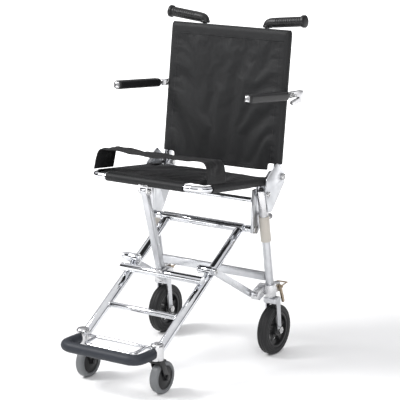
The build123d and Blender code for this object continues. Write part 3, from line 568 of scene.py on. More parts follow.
def tube_faces(rings, sides, caps=True):
    """Faces between one ring of points and the next, and the two ends."""
    faces = []
    for i in range(rings - 1):
        for k in range(sides):
            m = (k + 1) % sides
            faces.append((i * sides + k, i * sides + m, (i + 1) * sides + m, (i + 1) * sides + k))
    if caps:
        faces += [tuple(reversed(range(sides))), tuple((rings - 1) * sides + k for k in range(sides))]
    return faces


def grid_faces(rows, wide, keep=lambda j, i: True):
    """Faces of a grid of points, laid row by row, where keep(row, column) is true."""
    return [
        (j * wide + i, j * wide + i + 1, (j + 1) * wide + i + 1, (j + 1) * wide + i)
        for j in range(rows - 1) for i in range(wide - 1) if keep(j, i)
    ]


def spaced(start, end, count):
    """Numbers from start to end in count equal steps, both ends included."""
    return [start + (end - start) * k / count for k in range(count + 1)]


def swept(points, radius, sides=16, caps=True):
    """Points and faces of a round section along a path; radius may be a function of 0..1."""
    verts, side, last = [], None, len(points) - 1
    for i, p in enumerate(points):
        ahead = (points[min(i + 1, last)] - points[max(i - 1, 0)]).normalized()
        side = ahead.orthogonal() if side is None else side
        side = (side - ahead * side.dot(ahead)).normalized()
        up = ahead.cross(side)
        r = radius(i / last) if callable(radius) else radius
        for k in range(sides):
            angle = 2 * pi * k / sides
            verts.append(p + side * (r * cos(angle)) + up * (r * sin(angle)))
    return verts, tube_faces(len(points), sides, caps)


def gather(parts):
    """Joins several (points, faces) pairs into one."""
    verts, faces = [], []
    for v, f in parts:
        shift = len(verts)
        verts += v
        faces += [tuple(i + shift for i in face) for face in f]
    return verts, faces


def fill_path(path, step):
    """The same path with points no further apart than step."""
    filled = [path[0]]
    for a, b in zip(path, path[1:]):
        count = max(1, ceil((b - a).length / step))
        filled += [a + (b - a) * k / count for k in range(1, count + 1)]
    return filled


def rounded(corners, reach, steps=10):
    """A path through corners, each turned with a curve that starts a reach before it."""
    path = [corners[0]]
    for before, corner, after in zip(corners, corners[1:], corners[2:]):
        start = corner + (before - corner).normalized() * reach
        end = corner + (after - corner).normalized() * reach
        for k in range(steps + 1):
            t = k / steps
            path.append(start * (1 - t) ** 2 + corner * 2 * t * (1 - t) + end * t * t)
    return path + [corners[-1]]


SIDES = (("right", 1), ("left", -1))
ACROSS = Vector((1, 0, 0))
print("helpers ready")

# %% [markdown]
# ## Cloth by simulation
# Nylon pulled between two tubes isn't flat: it sags a little, and it puckers where it is held.
# The panel grows by about a hundredth while it is simulated for a few frames with its sleeves
# pinned, so the spare cloth settles in soft folds by itself. How far a point may move is
# capped, and the result is applied, so nothing is left to run at render time.


# %% Run a cloth and keep the result
POINT_MASS = 0.0003      # kg at each point of the grid
FRAMES = 26


def settle(piece, held, spare, cap):
    """Simulates a mesh with some points held; spare is extra length, as a share, cap in metres."""
    pins = piece.vertex_groups.new(name="held")
    for index, grip in enumerate(held):
        if grip > 0:
            pins.add([index], grip, "REPLACE")
    before = [v.co.copy() for v in piece.data.vertices]
    cloth_mod = piece.modifiers.new("Settle", "CLOTH")
    rules = cloth_mod.settings
    rules.vertex_group_mass = pins.name
    rules.quality = 6
    rules.mass = POINT_MASS
    rules.tension_stiffness = rules.compression_stiffness = 12
    rules.shear_stiffness = 4
    rules.bending_stiffness = 2.0
    rules.shrink_min = -spare
    rules.air_damping = 4
    cloth_mod.point_cache.frame_start = 1
    cloth_mod.point_cache.frame_end = FRAMES
    scene = bpy.context.scene
    scene.frame_start, scene.frame_end = 1, FRAMES
    for number in range(1, FRAMES + 1):
        scene.frame_set(number)
    graph = bpy.context.evaluated_depsgraph_get()
    after = [v.co.copy() for v in piece.evaluated_get(graph).data.vertices]
    piece.modifiers.remove(cloth_mod)
    scene.frame_set(1)
    moved = 0.0
    for vertex, a, b in zip(piece.data.vertices, before, after):
        step = b - a
        if step.length > cap:
            step = step.normalized() * cap
        vertex.co = a + step
        moved = max(moved, step.length)
    return moved


def thicken(piece, thickness, offset=-1.0):
    """Gives a sheet its thickness and rounds its facets."""
    solid = piece.modifiers.new("Thickness", "SOLIDIFY")
    solid.thickness = thickness
    solid.offset = offset
    soft = piece.modifiers.new("Smooth", "SUBSURF")
    soft.levels = soft.render_levels = 1


print("cloth helper ready")

# %% [markdown]
# ## The back
# One piece of nylon is sewn into a sock that pulls down over the arch of tube: a front panel, a
# sleeve round each side tube with a seam on the back, and a closed top with square corners.
# Between the tubes the panel carries on lower than the sleeves, which leaves the stepped lower
# edge. The grid's rows go up the back and its columns go round the section, so every thread
# of the mesh follows a real direction of the cloth.

# %% Back panel
BACK_HALF = BACK_X + TUBE_BACK + CLOTH_OFF + 0.0002   # half width outside the sleeves
BACK_DEEP = TUBE_BACK + CLOTH_OFF                     # from the tube's axis to the cloth
BACK_FROM, BACK_TAIL = 0.029, 0.012                   # lower edge of sleeves, and of the panel
TAIL_HALF = 0.140                                     # half width of the panel below the sleeves
BACK_TOP = back_height + 0.0142
CROWN = BACK_TOP - BACK_DEEP                          # where the sock starts to round over
SEAM_BACK = 0.034                                     # sleeve returns this far on the back
STEM_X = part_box("handle_sockets")[1].x - 0.010
CORNER_IN = 0.004                                     # the top corners are drawn in by this
FREE_HALF = BACK_X - 0.006                            # inside this the cloth is free to settle
FREE_TOP = back_height - 0.014
CLOTH_T = 0.0011


def back_columns():
    """Section of the sock as (across, off, where) from one back seam round to the other."""
    turn = BACK_HALF - BACK_DEEP
    front = [TAIL_HALF * k / 35 for k in range(-35, 36)]
    beside = (turn + TAIL_HALF) / 2 + 0.002
    front = [-turn, -beside] + front + [beside, turn]
    columns = [(x, 1.0, "front") for x in front]
    for side in (1, -1):
        half_turn = [pi * k / 10 for k in range(1, 11)]
        ring = [(side * (turn + BACK_DEEP * sin(a)), cos(a), "side") for a in half_turn]
        ring += [(side * (turn - SEAM_BACK * k / 4), -1.0, "behind") for k in range(1, 5)]
        columns = columns + ring if side > 0 else list(reversed(ring)) + columns
    return columns


def back_rows():
    rows = [BACK_TAIL, (BACK_TAIL + BACK_FROM) / 2]
    rows += spaced(BACK_FROM, CROWN, 80)
    rows += [CROWN + BACK_DEEP * sin(pi / 2 * k / 6) for k in range(1, 7)]
    return rows


def closing(s):
    """Depth of the sock's section as it rounds over its top: 1 below, and almost shut there."""
    over = min(1.0, max(0.0, (s - CROWN) / BACK_DEEP))
    return sqrt(1 - over ** 2) * 0.94 + 0.06


def back_cover():
    columns, rows = back_columns(), back_rows()
    verts, held = [], []
    for s in rows:
        squeeze = closing(s)
        for x, off, where in columns:
            inward = CORNER_IN * (1 - squeeze) * (abs(x) / BACK_HALF) ** 8
            verts.append(on_back(x * (1 - inward / BACK_HALF), s, off * BACK_DEEP * squeeze))
            free = where == "front" and abs(x) < FREE_HALF and s < FREE_TOP
            held.append(0.0 if free else 1.0)

    def keep(j, i):
        x = (columns[i][0] + columns[i + 1][0]) / 2
        behind = "behind" in (columns[i][2], columns[i + 1][2])
        narrow = abs(x) > TAIL_HALF or behind or columns[i][2] == "side"
        return not (narrow and rows[j] < BACK_FROM - 1e-6)

    return verts, grid_faces(len(rows), len(columns), keep), held


verts, faces, held = back_cover()
back_panel = add_mesh("back_panel", verts, faces, back_nylon)
moved = settle(back_panel, held, spare=0.012, cap=0.0045)
print(f"back panel settled by up to {moved * 1000:.1f} mm")


# %% [markdown]
# Where the hem's thread pulls, the cloth below it gathers in short upright creases. They are
# too fine for the simulation's grid, so they are pressed in afterwards with noise that varies
# quickly across and fades down from the hem.

# %% Gathers below the hem
HEM_S = back_height - 0.0135
GATHER_FADE = 0.022      # length over which the gathers die away
GATHER_HIGH = 0.0016
DRIFT_HIGH = 0.0012      # slow unevenness over the whole panel
for vertex in back_panel.data.vertices:
    spot = vertex.co - back_foot
    s, out = spot.dot(back_up), spot.dot(back_out)
    if out > 0.002 and s < HEM_S and abs(vertex.co.x) < BACK_X - 0.010:
        fade = exp((s - HEM_S) / GATHER_FADE)
        pucker = noise.noise(Vector((vertex.co.x * 95, 3.1, 0))) * GATHER_HIGH * fade
        drift = noise.noise(Vector((vertex.co.x * 9, s * 14, 5))) * DRIFT_HIGH
        vertex.co += back_out * (pucker + drift)
print(f"hem at {HEM_S:.3f} m up the back")


# %% [markdown]
# The sock also needs its top hem behind the top bar. It is a strip of the same cloth that runs
# across between the two sleeves, with a notch where each handle's clamp passes through.


# %% Hem behind the top bar
HEM_HALF = BACK_HALF - BACK_DEEP - SEAM_BACK + 0.001
HEM_DROP = 0.030         # how far it reaches below the top bar's axis
NOTCH = 0.0135           # half the gap for a handle's clamp


def hem_strip():
    columns = spaced(-HEM_HALF, HEM_HALF, 72)
    rows = spaced(back_height - HEM_DROP, BACK_TOP, 10)
    verts = [on_back(x, s, -BACK_DEEP * closing(s)) for s in rows for x in columns]

    def keep(j, i):
        return abs(abs(columns[i] + columns[i + 1]) / 2 - STEM_X) > NOTCH

    faces = grid_faces(len(rows), len(columns), keep)
    return verts, [(a, d, c, b) for a, b, c, d in faces]     # turned to face backwards


back_hem = add_mesh("back_hem", *hem_strip(), back_nylon, slot="black_cloth")
for piece in (back_panel, back_hem):
    thicken(piece, CLOTH_T)
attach(back_panel, "back")
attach(back_hem, "back")
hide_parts("back_sling")
print("back sock:", len(back_panel.data.vertices), "points")


# %% [markdown]
# ## Stitching
# A seam is a row of short thread loops pressed into the cloth. Each stitch here is a tiny
# capsule that follows the seam, and one call lays a whole row along a list of points.


# %% Rows of stitches
STITCH = 0.0042          # from one stitch to the next
STITCH_LONG = STITCH * 0.7
STITCH_R = 0.00045
ON_CLOTH = 0.0002        # stitches stand this proud of the cloth


def stitch_radius(t):
    return STITCH_R * (0.55 + 0.45 * sin(pi * t))


def stitch_row(points):
    """Points and faces of stitches along a line of points."""
    parts, carry = [], 0.0
    for a, b in zip(points, points[1:]):
        run = (b - a).length
        along = (b - a).normalized()
        at = carry
        while at + STITCH_LONG < run:
            ends = [a + along * (at + STITCH_LONG * share) for share in (0, 0.5, 1)]
            parts.append(swept(ends, stitch_radius, sides=5))
            at += STITCH
        carry = max(0.0, at - run)
    return gather(parts)


def back_seams():
    proud = BACK_DEEP + ON_CLOTH
    upward = spaced(0.030, back_height - 0.02, 60)
    rows = []
    for side in (1, -1):
        for x, off in ((BACK_X - 0.0135, proud), (BACK_HALF - BACK_DEEP - 0.030, -proud)):
            rows.append(stitch_row([on_back(side * x, s, off) for s in upward]))
    low_seam = TAIL_HALF - 0.004
    seams = [(back_height - 0.0165, BACK_X - 0.014)]
    seams += [(BACK_TAIL + up, low_seam) for up in (0.004, 0.009)]
    for s, reach in seams:
        rows.append(stitch_row([on_back(x, s, proud) for x in spaced(-reach, reach, 60)]))
    return gather(rows)


back_stitches = add_mesh("back_stitches", *back_seams(), thread, "back", "black_cloth")
welt_path = [on_back(x * (BACK_X - 0.002) / 30, HEM_S, BACK_DEEP + 0.0001) for x in range(-30, 31)]
back_welt = add_mesh(
    "back_welt", *swept(welt_path, 0.0011, sides=8), back_nylon, "back", "black_cloth"
)
print("stitches on the back:", len(back_stitches.data.polygons), "faces")

# %% [markdown]
# ## The seat
# The seat is the same cloth on a smaller tube: sleeves on the side tubes, a panel between them
# that dips under its own weight, and a flap that wraps the middle of the front bar. The front
# corners of the tube stay bare and bright.

# %% Seat panel
SEAT_DEEP = TUBE_SEAT + CLOTH_OFF
SEAT_BARE = 0.032        # bare tube at each front corner
FLAP_HALF = 0.112        # half width of the flap round the front bar
FLAP_IN = 0.024          # how far it returns under the seat
LUG_FROM = 0.200         # from here back the sleeves leave room for the pivots
SLIT_FROM = LUG_FROM + 0.026
LUG_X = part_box("side_plates")[1].x - 0.0045   # middle of a side plate's sheet
SLIT = 0.0019            # half the slit that lets a plate through as the seat lifts


def seat_columns():
    flat = [SEAT_X * k / 40 for k in range(-40, 41)]
    inner = int(LUG_X / SEAT_X * 40)                     # the column just inside a plate
    for side in (1, -1):
        flat[40 + side * inner] = side * (LUG_X - SLIT)
        flat[40 + side * (inner + 1)] = side * (LUG_X + SLIT)
    columns = [(x, 1.0, 0) for x in flat]
    for side in (1, -1):
        ring = [
            (side * (SEAT_X + SEAT_DEEP * sin(pi * k / 10)), cos(pi * k / 10), k) for k in range(1, 11)
        ]
        ring += [(side * (SEAT_X - 0.007 * k), -1.0, 10 + k) for k in range(1, 4)]
        columns = columns + ring if side > 0 else list(reversed(ring)) + columns
    return columns


def seat_cover():
    columns = seat_columns()
    wrap = [(-SEAT_DEEP * sin(pi * k / 10), cos(pi * k / 10)) for k in range(10, 0, -1)]
    wrap = [(FLAP_IN, -1.0), (FLAP_IN / 2, -1.0)] + wrap
    rows = [(s, lift, True) for s, lift in wrap]
    rows += [(SEAT_BARE * k / 8, 1.0, True) for k in range(8)]
    rows += [(s, 1.0, False) for s in spaced(SEAT_BARE, SEAT_LENGTH, 64)]
    verts, held = [], []
    for s, lift, front in rows:
        for x, off, ring in columns:
            up = SEAT_DEEP * (lift if front else off)
            verts.append(on_seat(x, s, up))
            free = not front and ring == 0 and abs(x) < SEAT_X - 0.010
            held.append(0.0 if free else 1.0)

    def keep(j, i):
        x = abs(columns[i][0] + columns[i + 1][0]) / 2
        ring = max(columns[i][2], columns[i + 1][2])
        s, _, front = rows[j]
        corner = front and (x > FLAP_HALF or ring > 0)
        under_lug = ring > 8 and s > LUG_FROM
        slit = ring == 0 and abs(x - LUG_X) < SLIT and s > SLIT_FROM
        return not (corner or under_lug or slit)

    return verts, grid_faces(len(rows), len(columns), keep), held


verts, faces, held = seat_cover()
seat_panel = add_mesh("seat_panel", verts, faces, finishes["black_cloth"])
bm = bmesh.new()
bm.from_mesh(seat_panel.data)
loose = [v for v in bm.verts if not v.link_faces]
kept = [h for v, h in zip(bm.verts, held) if v.link_faces]
bmesh.ops.delete(bm, geom=loose, context="VERTS")
bm.to_mesh(seat_panel.data)
bm.free()
moved = settle(seat_panel, kept, spare=0.015, cap=0.009)
print(f"seat panel settled by up to {moved * 1000:.1f} mm")
thicken(seat_panel, CLOTH_T)
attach(seat_panel, "seat")
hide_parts("seat_sling")


def seat_seams():
    proud = SEAT_DEEP + ON_CLOTH
    along = spaced(SEAT_BARE + 0.004, SEAT_LENGTH - 0.004, 50)
    rows = [stitch_row([on_seat(side * (SEAT_X - 0.0115), s, proud) for s in along]) for side in (1, -1)]
    reach = FLAP_HALF - 0.003
    for s, up in ((0.016, proud), (-proud, -0.002)):
        rows.append(stitch_row([on_seat(x, s, up) for x in spaced(-reach, reach, 50)]))
    return gather(rows)


seat_stitches = add_mesh("seat_stitches", *seat_seams(), thread, "seat", "black_cloth")
print("seat panel:", len(seat_panel.data.vertices), "points")

# %% [markdown]
# ## The belt
# A wide band of webbing arches over the front of the seat, from the outside of one side tube to
# the other. It is stiff enough to stand up, but it has been folded so often that it is full of
# soft creases, so it is modelled directly: a grid along the arch, moved by noise that fades
# away at the two ends, where the band is held against the tube.

# %% Belt
BELT_WIDE = 0.078
BELT_FROM = 0.014        # from the front bar's axis
BELT_RISE = 0.064
BELT_T = 0.0020
BELT_CROWN = 0.0035      # the middle sags this much below the shoulders
SHOULDER = 0.012         # how far the shoulder turns outwards


def belt_path():
    """Half of the arch, from the middle out and down round the tube."""
    shoulder, foot = SEAT_X - 0.014, SEAT_X + 0.0036
    half = [(shoulder * k / 24, BELT_RISE - BELT_CROWN * (1 - (k / 24) ** 2)) for k in range(25)]
    for k in range(1, 7):
        turn = pi / 2 * k / 6
        half.append((shoulder + SHOULDER * sin(turn), BELT_RISE - 0.016 * (1 - cos(turn)) - 0.0005 * k))
    x, z = half[-1]
    low = TUBE_SEAT + CLOTH_OFF + 0.0022
    return half + list(zip(spaced(x, foot, 12), spaced(z, low, 12)))[1:]


def belt_crease(x, w, z):
    """Soft creases at two sizes."""
    spot = Vector((x * 21, w * 46, z * 30))
    return (noise.noise(spot) * 0.0046 + noise.noise(spot * 2.3) * 0.0024) * 0.85


def belt_grid():
    half = belt_path()
    path = [(-x, z) for x, z in reversed(half[1:])] + half
    last = len(path) - 1
    verts = []
    across = spaced(BELT_FROM, BELT_FROM + BELT_WIDE, 24)
    for index, (x, z) in enumerate(path):
        edge = min(1.0, min(index, last - index) / 18)       # creases fade at the two ends
        ahead, behind = path[min(index + 1, last)], path[max(index - 1, 0)]
        nx, nz = -(ahead[1] - behind[1]), ahead[0] - behind[0]
        size = sqrt(nx * nx + nz * nz)
        for w in across:
            crease = belt_crease(x, w, z) * edge
            verts.append(on_seat(x + nx / size * crease, w, z + nz / size * crease - 0.0012))
    return verts, grid_faces(len(path), len(across))


seat_belt = add_mesh("belt", *belt_grid(), finishes["black_webbing"])
thicken(seat_belt, BELT_T, offset=0.0)
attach(seat_belt, "seat")
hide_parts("seat_belt")
print("belt:", len(seat_belt.data.polygons), "faces")

# %% [markdown]
# ## Foam bumper
# A tube of closed-cell foam is slid over the foot loop and bent round the two casters. It is
# never quite even, so its radius ripples slowly, and its two ends are slightly drawn in.


# %% Bumper
low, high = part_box("foot_bumper")
FOAM_R = (high.z - low.z) / 2
level = (high.z + low.z) / 2
half = high.x - FOAM_R
corners = [Vector((-half, high.y, level)), Vector((-half, low.y + FOAM_R, level)),
           Vector((half, low.y + FOAM_R, level)), Vector((half, high.y, level))]
path = fill_path(rounded(corners, 0.030), 0.004)


def foam_radius(t):
    ripple = noise.noise(Vector((t * 40, 0.3, 0))) * 0.0004
    shut = min(t, 1 - t) * 60
    return (FOAM_R - 0.0002) * (0.93 + 0.07 * min(1.0, shut)) + ripple


bumper = add_mesh(
    "bumper", *swept(path, foam_radius, sides=28), finishes["bumper_foam"], "front_frame", "bumper_foam"
)
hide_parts("foot_bumper")
print("bumper:", len(path), "rings")

# %% [markdown]
# ## Wheels
# The rear tyres are solid rubber with a flat tread, two shallow grooves and a moulded ring on the
# wall. The casters' tyres are grey, smooth and more rounded. Both are a profile turned round the
# axle; the profile starts inside on the rim so the ring closes.


# %% Tyres
GROOVE = 0.0012          # depth of a groove in the tread
# piece, node and body name, slot, rim's radius, shoulder, grooves, steps round
TYRES = (
    ("tyre_", "rear_tyre_", "rear_wheel_", "black_tyre", 0.04505, 0.006, (-0.004, 0.004), 96),
    ("caster_tread_", "caster_tyre_", "caster_wheel_", "grey_tyre", 0.02805, 0.0065, (), 80),
)


def tyre_profile(outer, inner, half, shoulder, grooves):
    """(radius, along) round a tyre's section, with grooves cut in the tread."""
    ring = outer - shoulder                              # the moulded ring sits just inside this
    left = [(inner, -half + 0.0015), (inner + 0.002, -half + 0.0004), (ring - 0.003, -half),
            (ring - 0.002, -half + 0.0006), (ring - 0.001, -half)]
    for k in range(7):
        turn = pi / 2 * k / 6
        left.append((ring + shoulder * sin(turn), -half + shoulder * (1 - cos(turn))))
    tread = []
    for g in grooves:
        floor_r = outer - GROOVE
        tread += [(outer, g - 0.0014), (floor_r, g - 0.0008), (floor_r, g + 0.0008), (outer, g + 0.0014)]
    return left + tread + [(r, -t) for r, t in reversed(left)]


for name, sign in SIDES:
    for piece, node, body, slot, inner, shoulder, grooves, steps in TYRES:
        low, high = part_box(node + name)
        profile = tyre_profile((high.z - low.z) / 2, inner, (high.x - low.x) / 2, shoulder, grooves)
        ring = turned(profile, (low + high) / 2, ACROSS, steps)
        tyre = add_mesh(piece + name, *ring, finishes[slot], body + name, slot)
        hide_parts(node + name)
print("four tyres turned")

# %% [markdown]
# ## Hand grips
# The push handles end in rubber grips that start below the stem's elbow and follow it round: a
# plain collar, a smooth bend, a barrel with rows of small ribs, and a wide flange that keeps the
# hand on. A round section is swept along that path, and its radius is a function of the
# distance along it, which puts the ribs only where the real ones are.

# %% Grips
GRIP_RISE = radians(6.0)
GRIP_LONG = 0.095        # straight part
ELBOW_OUT = 0.014        # elbow's corner to the straight part
ELBOW_DOWN = 0.012       # and down the stem to the collar
RIB_PITCH = 0.0062


def grip_radius(at, total, barrel, flange):
    """Radius of the rubber at a distance along the grip."""
    left = total - at
    if left < 0.0085:
        return flange * (1 - 0.35 * max(0.0, 1 - left / 0.002) ** 2)
    if left < 0.0105:
        return barrel + (flange - barrel) * (0.0105 - left) / 0.002
    if at < 0.0042:
        return barrel * (0.80 + 0.16 * min(1.0, at / 0.0012))
    slim = barrel * (0.88 + 0.12 * min(1.0, at / 0.030))
    if at > 0.034 and (at % RIB_PITCH) < RIB_PITCH * 0.28:
        return slim - 0.0011
    return slim


for name, sign in SIDES:
    low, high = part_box("handle_grip_" + name)
    axis = Vector((sign * cos(GRIP_RISE), 0, sin(GRIP_RISE)))
    flange = (high.y - low.y) / 2
    barrel = flange - 0.003
    outer_x = high.x if sign > 0 else low.x
    tip = Vector((outer_x, (low.y + high.y) / 2, high.z - flange * cos(GRIP_RISE)))
    tip -= axis * flange * sin(GRIP_RISE)
    corner = tip - axis * (GRIP_LONG + ELBOW_OUT)
    route = fill_path(rounded([corner - back_up * ELBOW_DOWN, corner, tip], ELBOW_DOWN * 0.95), 0.0009)
    reach = [0.0]
    for a, b in zip(route, route[1:]):
        reach.append(reach[-1] + (b - a).length)
    radii = [grip_radius(at, reach[-1], barrel, flange) for at in reach]
    last = len(route) - 1
    verts, faces = swept(route, lambda t: radii[round(t * last)], sides=40)
    grip = add_mesh(
        "grip_" + name, verts, faces, finishes["black_rubber"], "handle_" + name, "black_rubber"
    )
    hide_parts("handle_grip_" + name)
print("two grips,", len(route), "rings each")

# %% [markdown]
# ## Armrests
# Each arm is a square tube inside a moulded black pad with rounded long edges. The tube's end
# shows at the front as a small bright plug, set in the black. The pad takes the place of both
# the CAD pad and its end cap.

# %% Arm pads and plugs
ARM_RISE = radians(5.3)
PAD_R = 0.006
PLUG = (0.0062, 0.0072)  # half width and half height of the bright plug


def round_section(wide, tall, radius, steps=6):
    """Corner points of a rounded rectangle, given by half its width and height."""
    points = []
    for cx, cz, base in ((1, 1, 0), (-1, 1, 90), (-1, -1, 180), (1, -1, 270)):
        for k in range(steps + 1):
            angle = radians(base + 90 / steps * k)
            x, z = cx * (wide - radius), cz * (tall - radius)
            points.append((x + radius * cos(angle), z + radius * sin(angle)))
    return points


def bar_mesh(start, along, up, length, section, draw, steps=36):
    """A section carried along a direction; draw(t) scales it from 0 to 1 of the way."""
    verts = []
    for t in spaced(0, 1, steps):
        at, share = start + along * (length * t), draw(t)
        verts += [at + ACROSS * (x * share) + up * (z * share) for x, z in section]
    return verts, tube_faces(steps + 1, len(section))


def pad_draw(length):
    """A pad's section is drawn in over the last few millimetres of each end."""
    return lambda t: 1 - 0.14 * max(0.0, 1 - min(t, 1 - t) * length / 0.005) ** 2


def plug_draw(t):
    return 1 - 0.10 * max(0.0, t - 0.7) / 0.3


arm_along = Vector((0, -cos(ARM_RISE), sin(ARM_RISE)))
arm_up = Vector((0, sin(ARM_RISE), cos(ARM_RISE)))
for name, sign in SIDES:
    low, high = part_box("arm_pad_" + name)
    cap_low, cap_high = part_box("arm_cap_" + name)
    wide = (high.x - low.x) / 2
    tall = (cap_high.z - cap_low.z) / 2 / cos(ARM_RISE) - (cap_high.y - cap_low.y) / 2 * sin(ARM_RISE)
    rear = Vector(((low.x + high.x) / 2, high.y - tall * sin(ARM_RISE), low.z + tall * cos(ARM_RISE)))
    length = (high.y - cap_low.y - 2 * tall * sin(ARM_RISE)) / cos(ARM_RISE) - 0.001
    section = round_section(wide, tall, PAD_R)
    solid = bar_mesh(rear, arm_along, arm_up, length, section, pad_draw(length))
    pad = add_mesh("pad_" + name, *solid, finishes["pad_plastic"], "arm_" + name, "pad_plastic")
    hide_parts("arm_pad_" + name, "arm_cap_" + name)
    front = rear + arm_along * (length - 0.0015)
    solid = bar_mesh(front, arm_along, arm_up, 0.0026, round_section(*PLUG, 0.0012), plug_draw, 8)
    add_mesh("plug_" + name, *solid, finishes["cast_aluminium"], "arm_" + name, "cast_aluminium")
print(f"two pads {length:.3f} m long, with plugs")

# %% [markdown]
# ### Arm clamps
# In front of each back tube sits the block that the arm turns on: a hexagonal boss on a plate,
# with the pivot bolt through it. It is turned with six flats and eased edges.


# %% Arm clamps
def hexagon_block(at, axis, across, length):
    """A six-sided boss with eased ends, centred on a point."""
    profile = [(across * 0.88, -length / 2), (across, -length / 2 + 0.001),
               (across, length / 2 - 0.001), (across * 0.88, length / 2)]
    verts, faces = turned(profile, at, axis, 6, closed=False)
    faces += [tuple(reversed([k * 4 for k in range(6)])), tuple(k * 4 + 3 for k in range(6))]
    return verts, faces


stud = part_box("arm_studs")
stud_mid = (stud[0] + stud[1]) / 2
clamps = []
for name, sign in SIDES:
    at = Vector((sign * (BACK_X + TUBE_BACK + 0.0045), stud_mid.y, stud_mid.z)) + back_out * 0.0165
    clamps.append(hexagon_block(at, back_up, 0.0062, 0.015))
    strap = round_section(0.0025, 0.0065, 0.0010, steps=3)
    clamps.append(bar_mesh(at - back_out * 0.014, back_out, back_up, 0.014, strap, lambda t: 1.0, 4))
clamp = add_mesh("arm_clamps", *gather(clamps), finishes["cast_aluminium"], "back", "cast_aluminium")
for face in clamp.data.polygons:
    face.use_smooth = False
print("two arm clamps")

# %% [markdown]
# ## Seat stops
# Two rubber buttons on the tops of the legs take the seat's weight. Each is a small turned
# bumper with a rounded crown and a waist.

# %% Seat stops
low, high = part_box("seat_stops")
for name, sign in SIDES:
    radius = (high.y - low.y) / 2
    base = Vector((sign * (high.x - radius), (low.y + high.y) / 2, low.z))
    tall = high.z - low.z
    profile = [(0.0002, 0), (radius - 0.0008, 0), (radius, 0.0008), (radius - 0.0008, tall * 0.45),
               (radius, tall * 0.75), (radius - 0.0012, tall * 0.97), (radius - 0.003, tall), (0.0002, tall)]
    stop = add_mesh("stop_" + name, *turned(profile, base, Vector((0, 0, 1)), 32, closed=False),
                    finishes["black_rubber"], "rear_frame", "black_rubber")
    if sign > 0:
        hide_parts("seat_stops")
print("two seat stops")

# %% [markdown]
# ## Bolt heads and washers
# Socket screws sit on the main pivots. Each is a turned head with a rounded rim and a hexagon
# recess, on a thin washer; they are added on top of the plain CAD heads, on the same body.


# %% Screws
HEAD = 0.0016            # a screw stands this proud of the CAD head under it
WASHER_T = 0.0006


def screw(at, axis, radius, tall, washer=1.35):
    """Head and washer on a surface at a point, as points and faces."""
    axis = axis.normalized()
    a, b = square_to(axis)
    steps, recess = 24, radius * 0.50
    rim, bore = radius * washer, radius * 0.4
    plate = turned([(bore, 0), (rim, 0), (rim, WASHER_T), (bore, WASHER_T + 0.0001)], at, axis, 28)
    profile = [(radius, WASHER_T), (radius, tall * 0.72), (radius * 0.93, tall * 0.92), (radius * 0.80, tall)]
    head_v, head_f = turned(profile, at, axis, steps, closed=False)
    for depth in (tall, tall * 0.45):                    # the hexagon's mouth and its floor
        for k in range(steps):
            angle = 2 * pi * k / steps
            corner = recess / cos((angle % (pi / 3)) - pi / 6)
            head_v.append(at + (a * cos(angle) + b * sin(angle)) * corner + axis * depth)
    count = len(profile)
    mouth, floor_at = steps * count, steps * count + steps
    for k in range(steps):
        m = (k + 1) % steps
        head_f.append((k * count + count - 1, m * count + count - 1, mouth + m, mouth + k))
        head_f.append((mouth + k, mouth + m, floor_at + m, floor_at + k))
    head_f.append(tuple(floor_at + k for k in range(steps)))
    return gather([plate, (head_v, head_f)])


def beside(x, point):
    """The same point, moved across to x."""
    return Vector((x, point.y, point.z))


bolt_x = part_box("pivot_bolts")[1].x
cheek_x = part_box("hinge_cheeks")[1].x + 0.0032
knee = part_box("knee_barrels")
knee_mid = (knee[0] + knee[1]) / 2
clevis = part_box("clevis_pin")
clevis_mid = (clevis[0] + clevis[1]) / 2
spots = {"rear_frame": [], "front_frame": [], "back": [], "seat": []}
for name, sign in SIDES:
    out = ACROSS * sign
    spots["rear_frame"] += [
        (beside(sign * cheek_x, pivots["seat_fold"]), out, 0.0050, HEAD),
        (beside(sign * cheek_x, pivots["back_fold"]), out, 0.0056, HEAD),
        (beside(sign * bolt_x, pivots["rear_wheel_spin_" + name]), out, 0.0045, HEAD, 1.0),
    ]
    spots["front_frame"].append((beside(sign * knee[1].x, knee_mid), out, 0.0046, HEAD))
    spots["back"].append((beside(sign * stud[1].x, stud_mid), out, 0.0038, HEAD, 1.0))
    spots["seat"].append((beside(sign * clevis[1].x, clevis_mid), out, 0.0042, HEAD))
for body, heads in spots.items():
    parts = [screw(*spot) for spot in heads]
    add_mesh("screws_" + body, *gather(parts), finishes["steel_fixings"], body, "steel_fixings")
print(sum(len(heads) for heads in spots.values()), "screws")

# %% [markdown]
# ## Weld beads
# Where the rung meets the two side tubes there is a bead of weld: a soft ring with scales. A
# ring whose radius ripples is enough at this size, and it follows the tube's end.


# %% Welds
def weld_radius(t):
    return 0.0013 * (0.78 + 0.22 * abs(sin(t * pi * 18)))


def weld_ring(at, radius):
    a, b = square_to(ACROSS)
    turns = spaced(0, 2 * pi, 48)
    points = [at + (a * cos(turn) + b * sin(turn)) * radius for turn in turns]
    return swept(points, weld_radius, sides=8, caps=False)


low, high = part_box("rung")
beads = []
for name, sign in SIDES:
    end = Vector((sign * (high.x - 0.0006), (low.y + high.y) / 2, (low.z + high.z) / 2))
    beads.append(weld_ring(end, (high.z - low.z) / 2))
welds = add_mesh(
    "welds_front_frame", *gather(beads), finishes["cast_aluminium"], "front_frame", "cast_aluminium"
)
print("welds:", len(welds.data.polygons), "faces")

# %% [markdown]
# ## What the soft pieces are
# The back and the seat are sheets cut from flat nylon: their widths go once round the
# sleeves, and their lengths run from edge to edge. The belt is a flat strip.


# %% [markdown]
# ## Studio
# A pale floor, a big soft light high on the left and a weaker one on the right. The camera sees
# a white room, but everything else sees a room with a dark band round its horizon, and three
# dark boards stand outside the view: bright tube shows nothing of its own, only what is round
# it, and without something dark to mirror it would look like white plastic.


# %% Floor, boards and lights
def stage_mesh(name, verts, faces, material):
    piece = add_mesh(name, verts, faces, material)
    piece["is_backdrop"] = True
    return piece


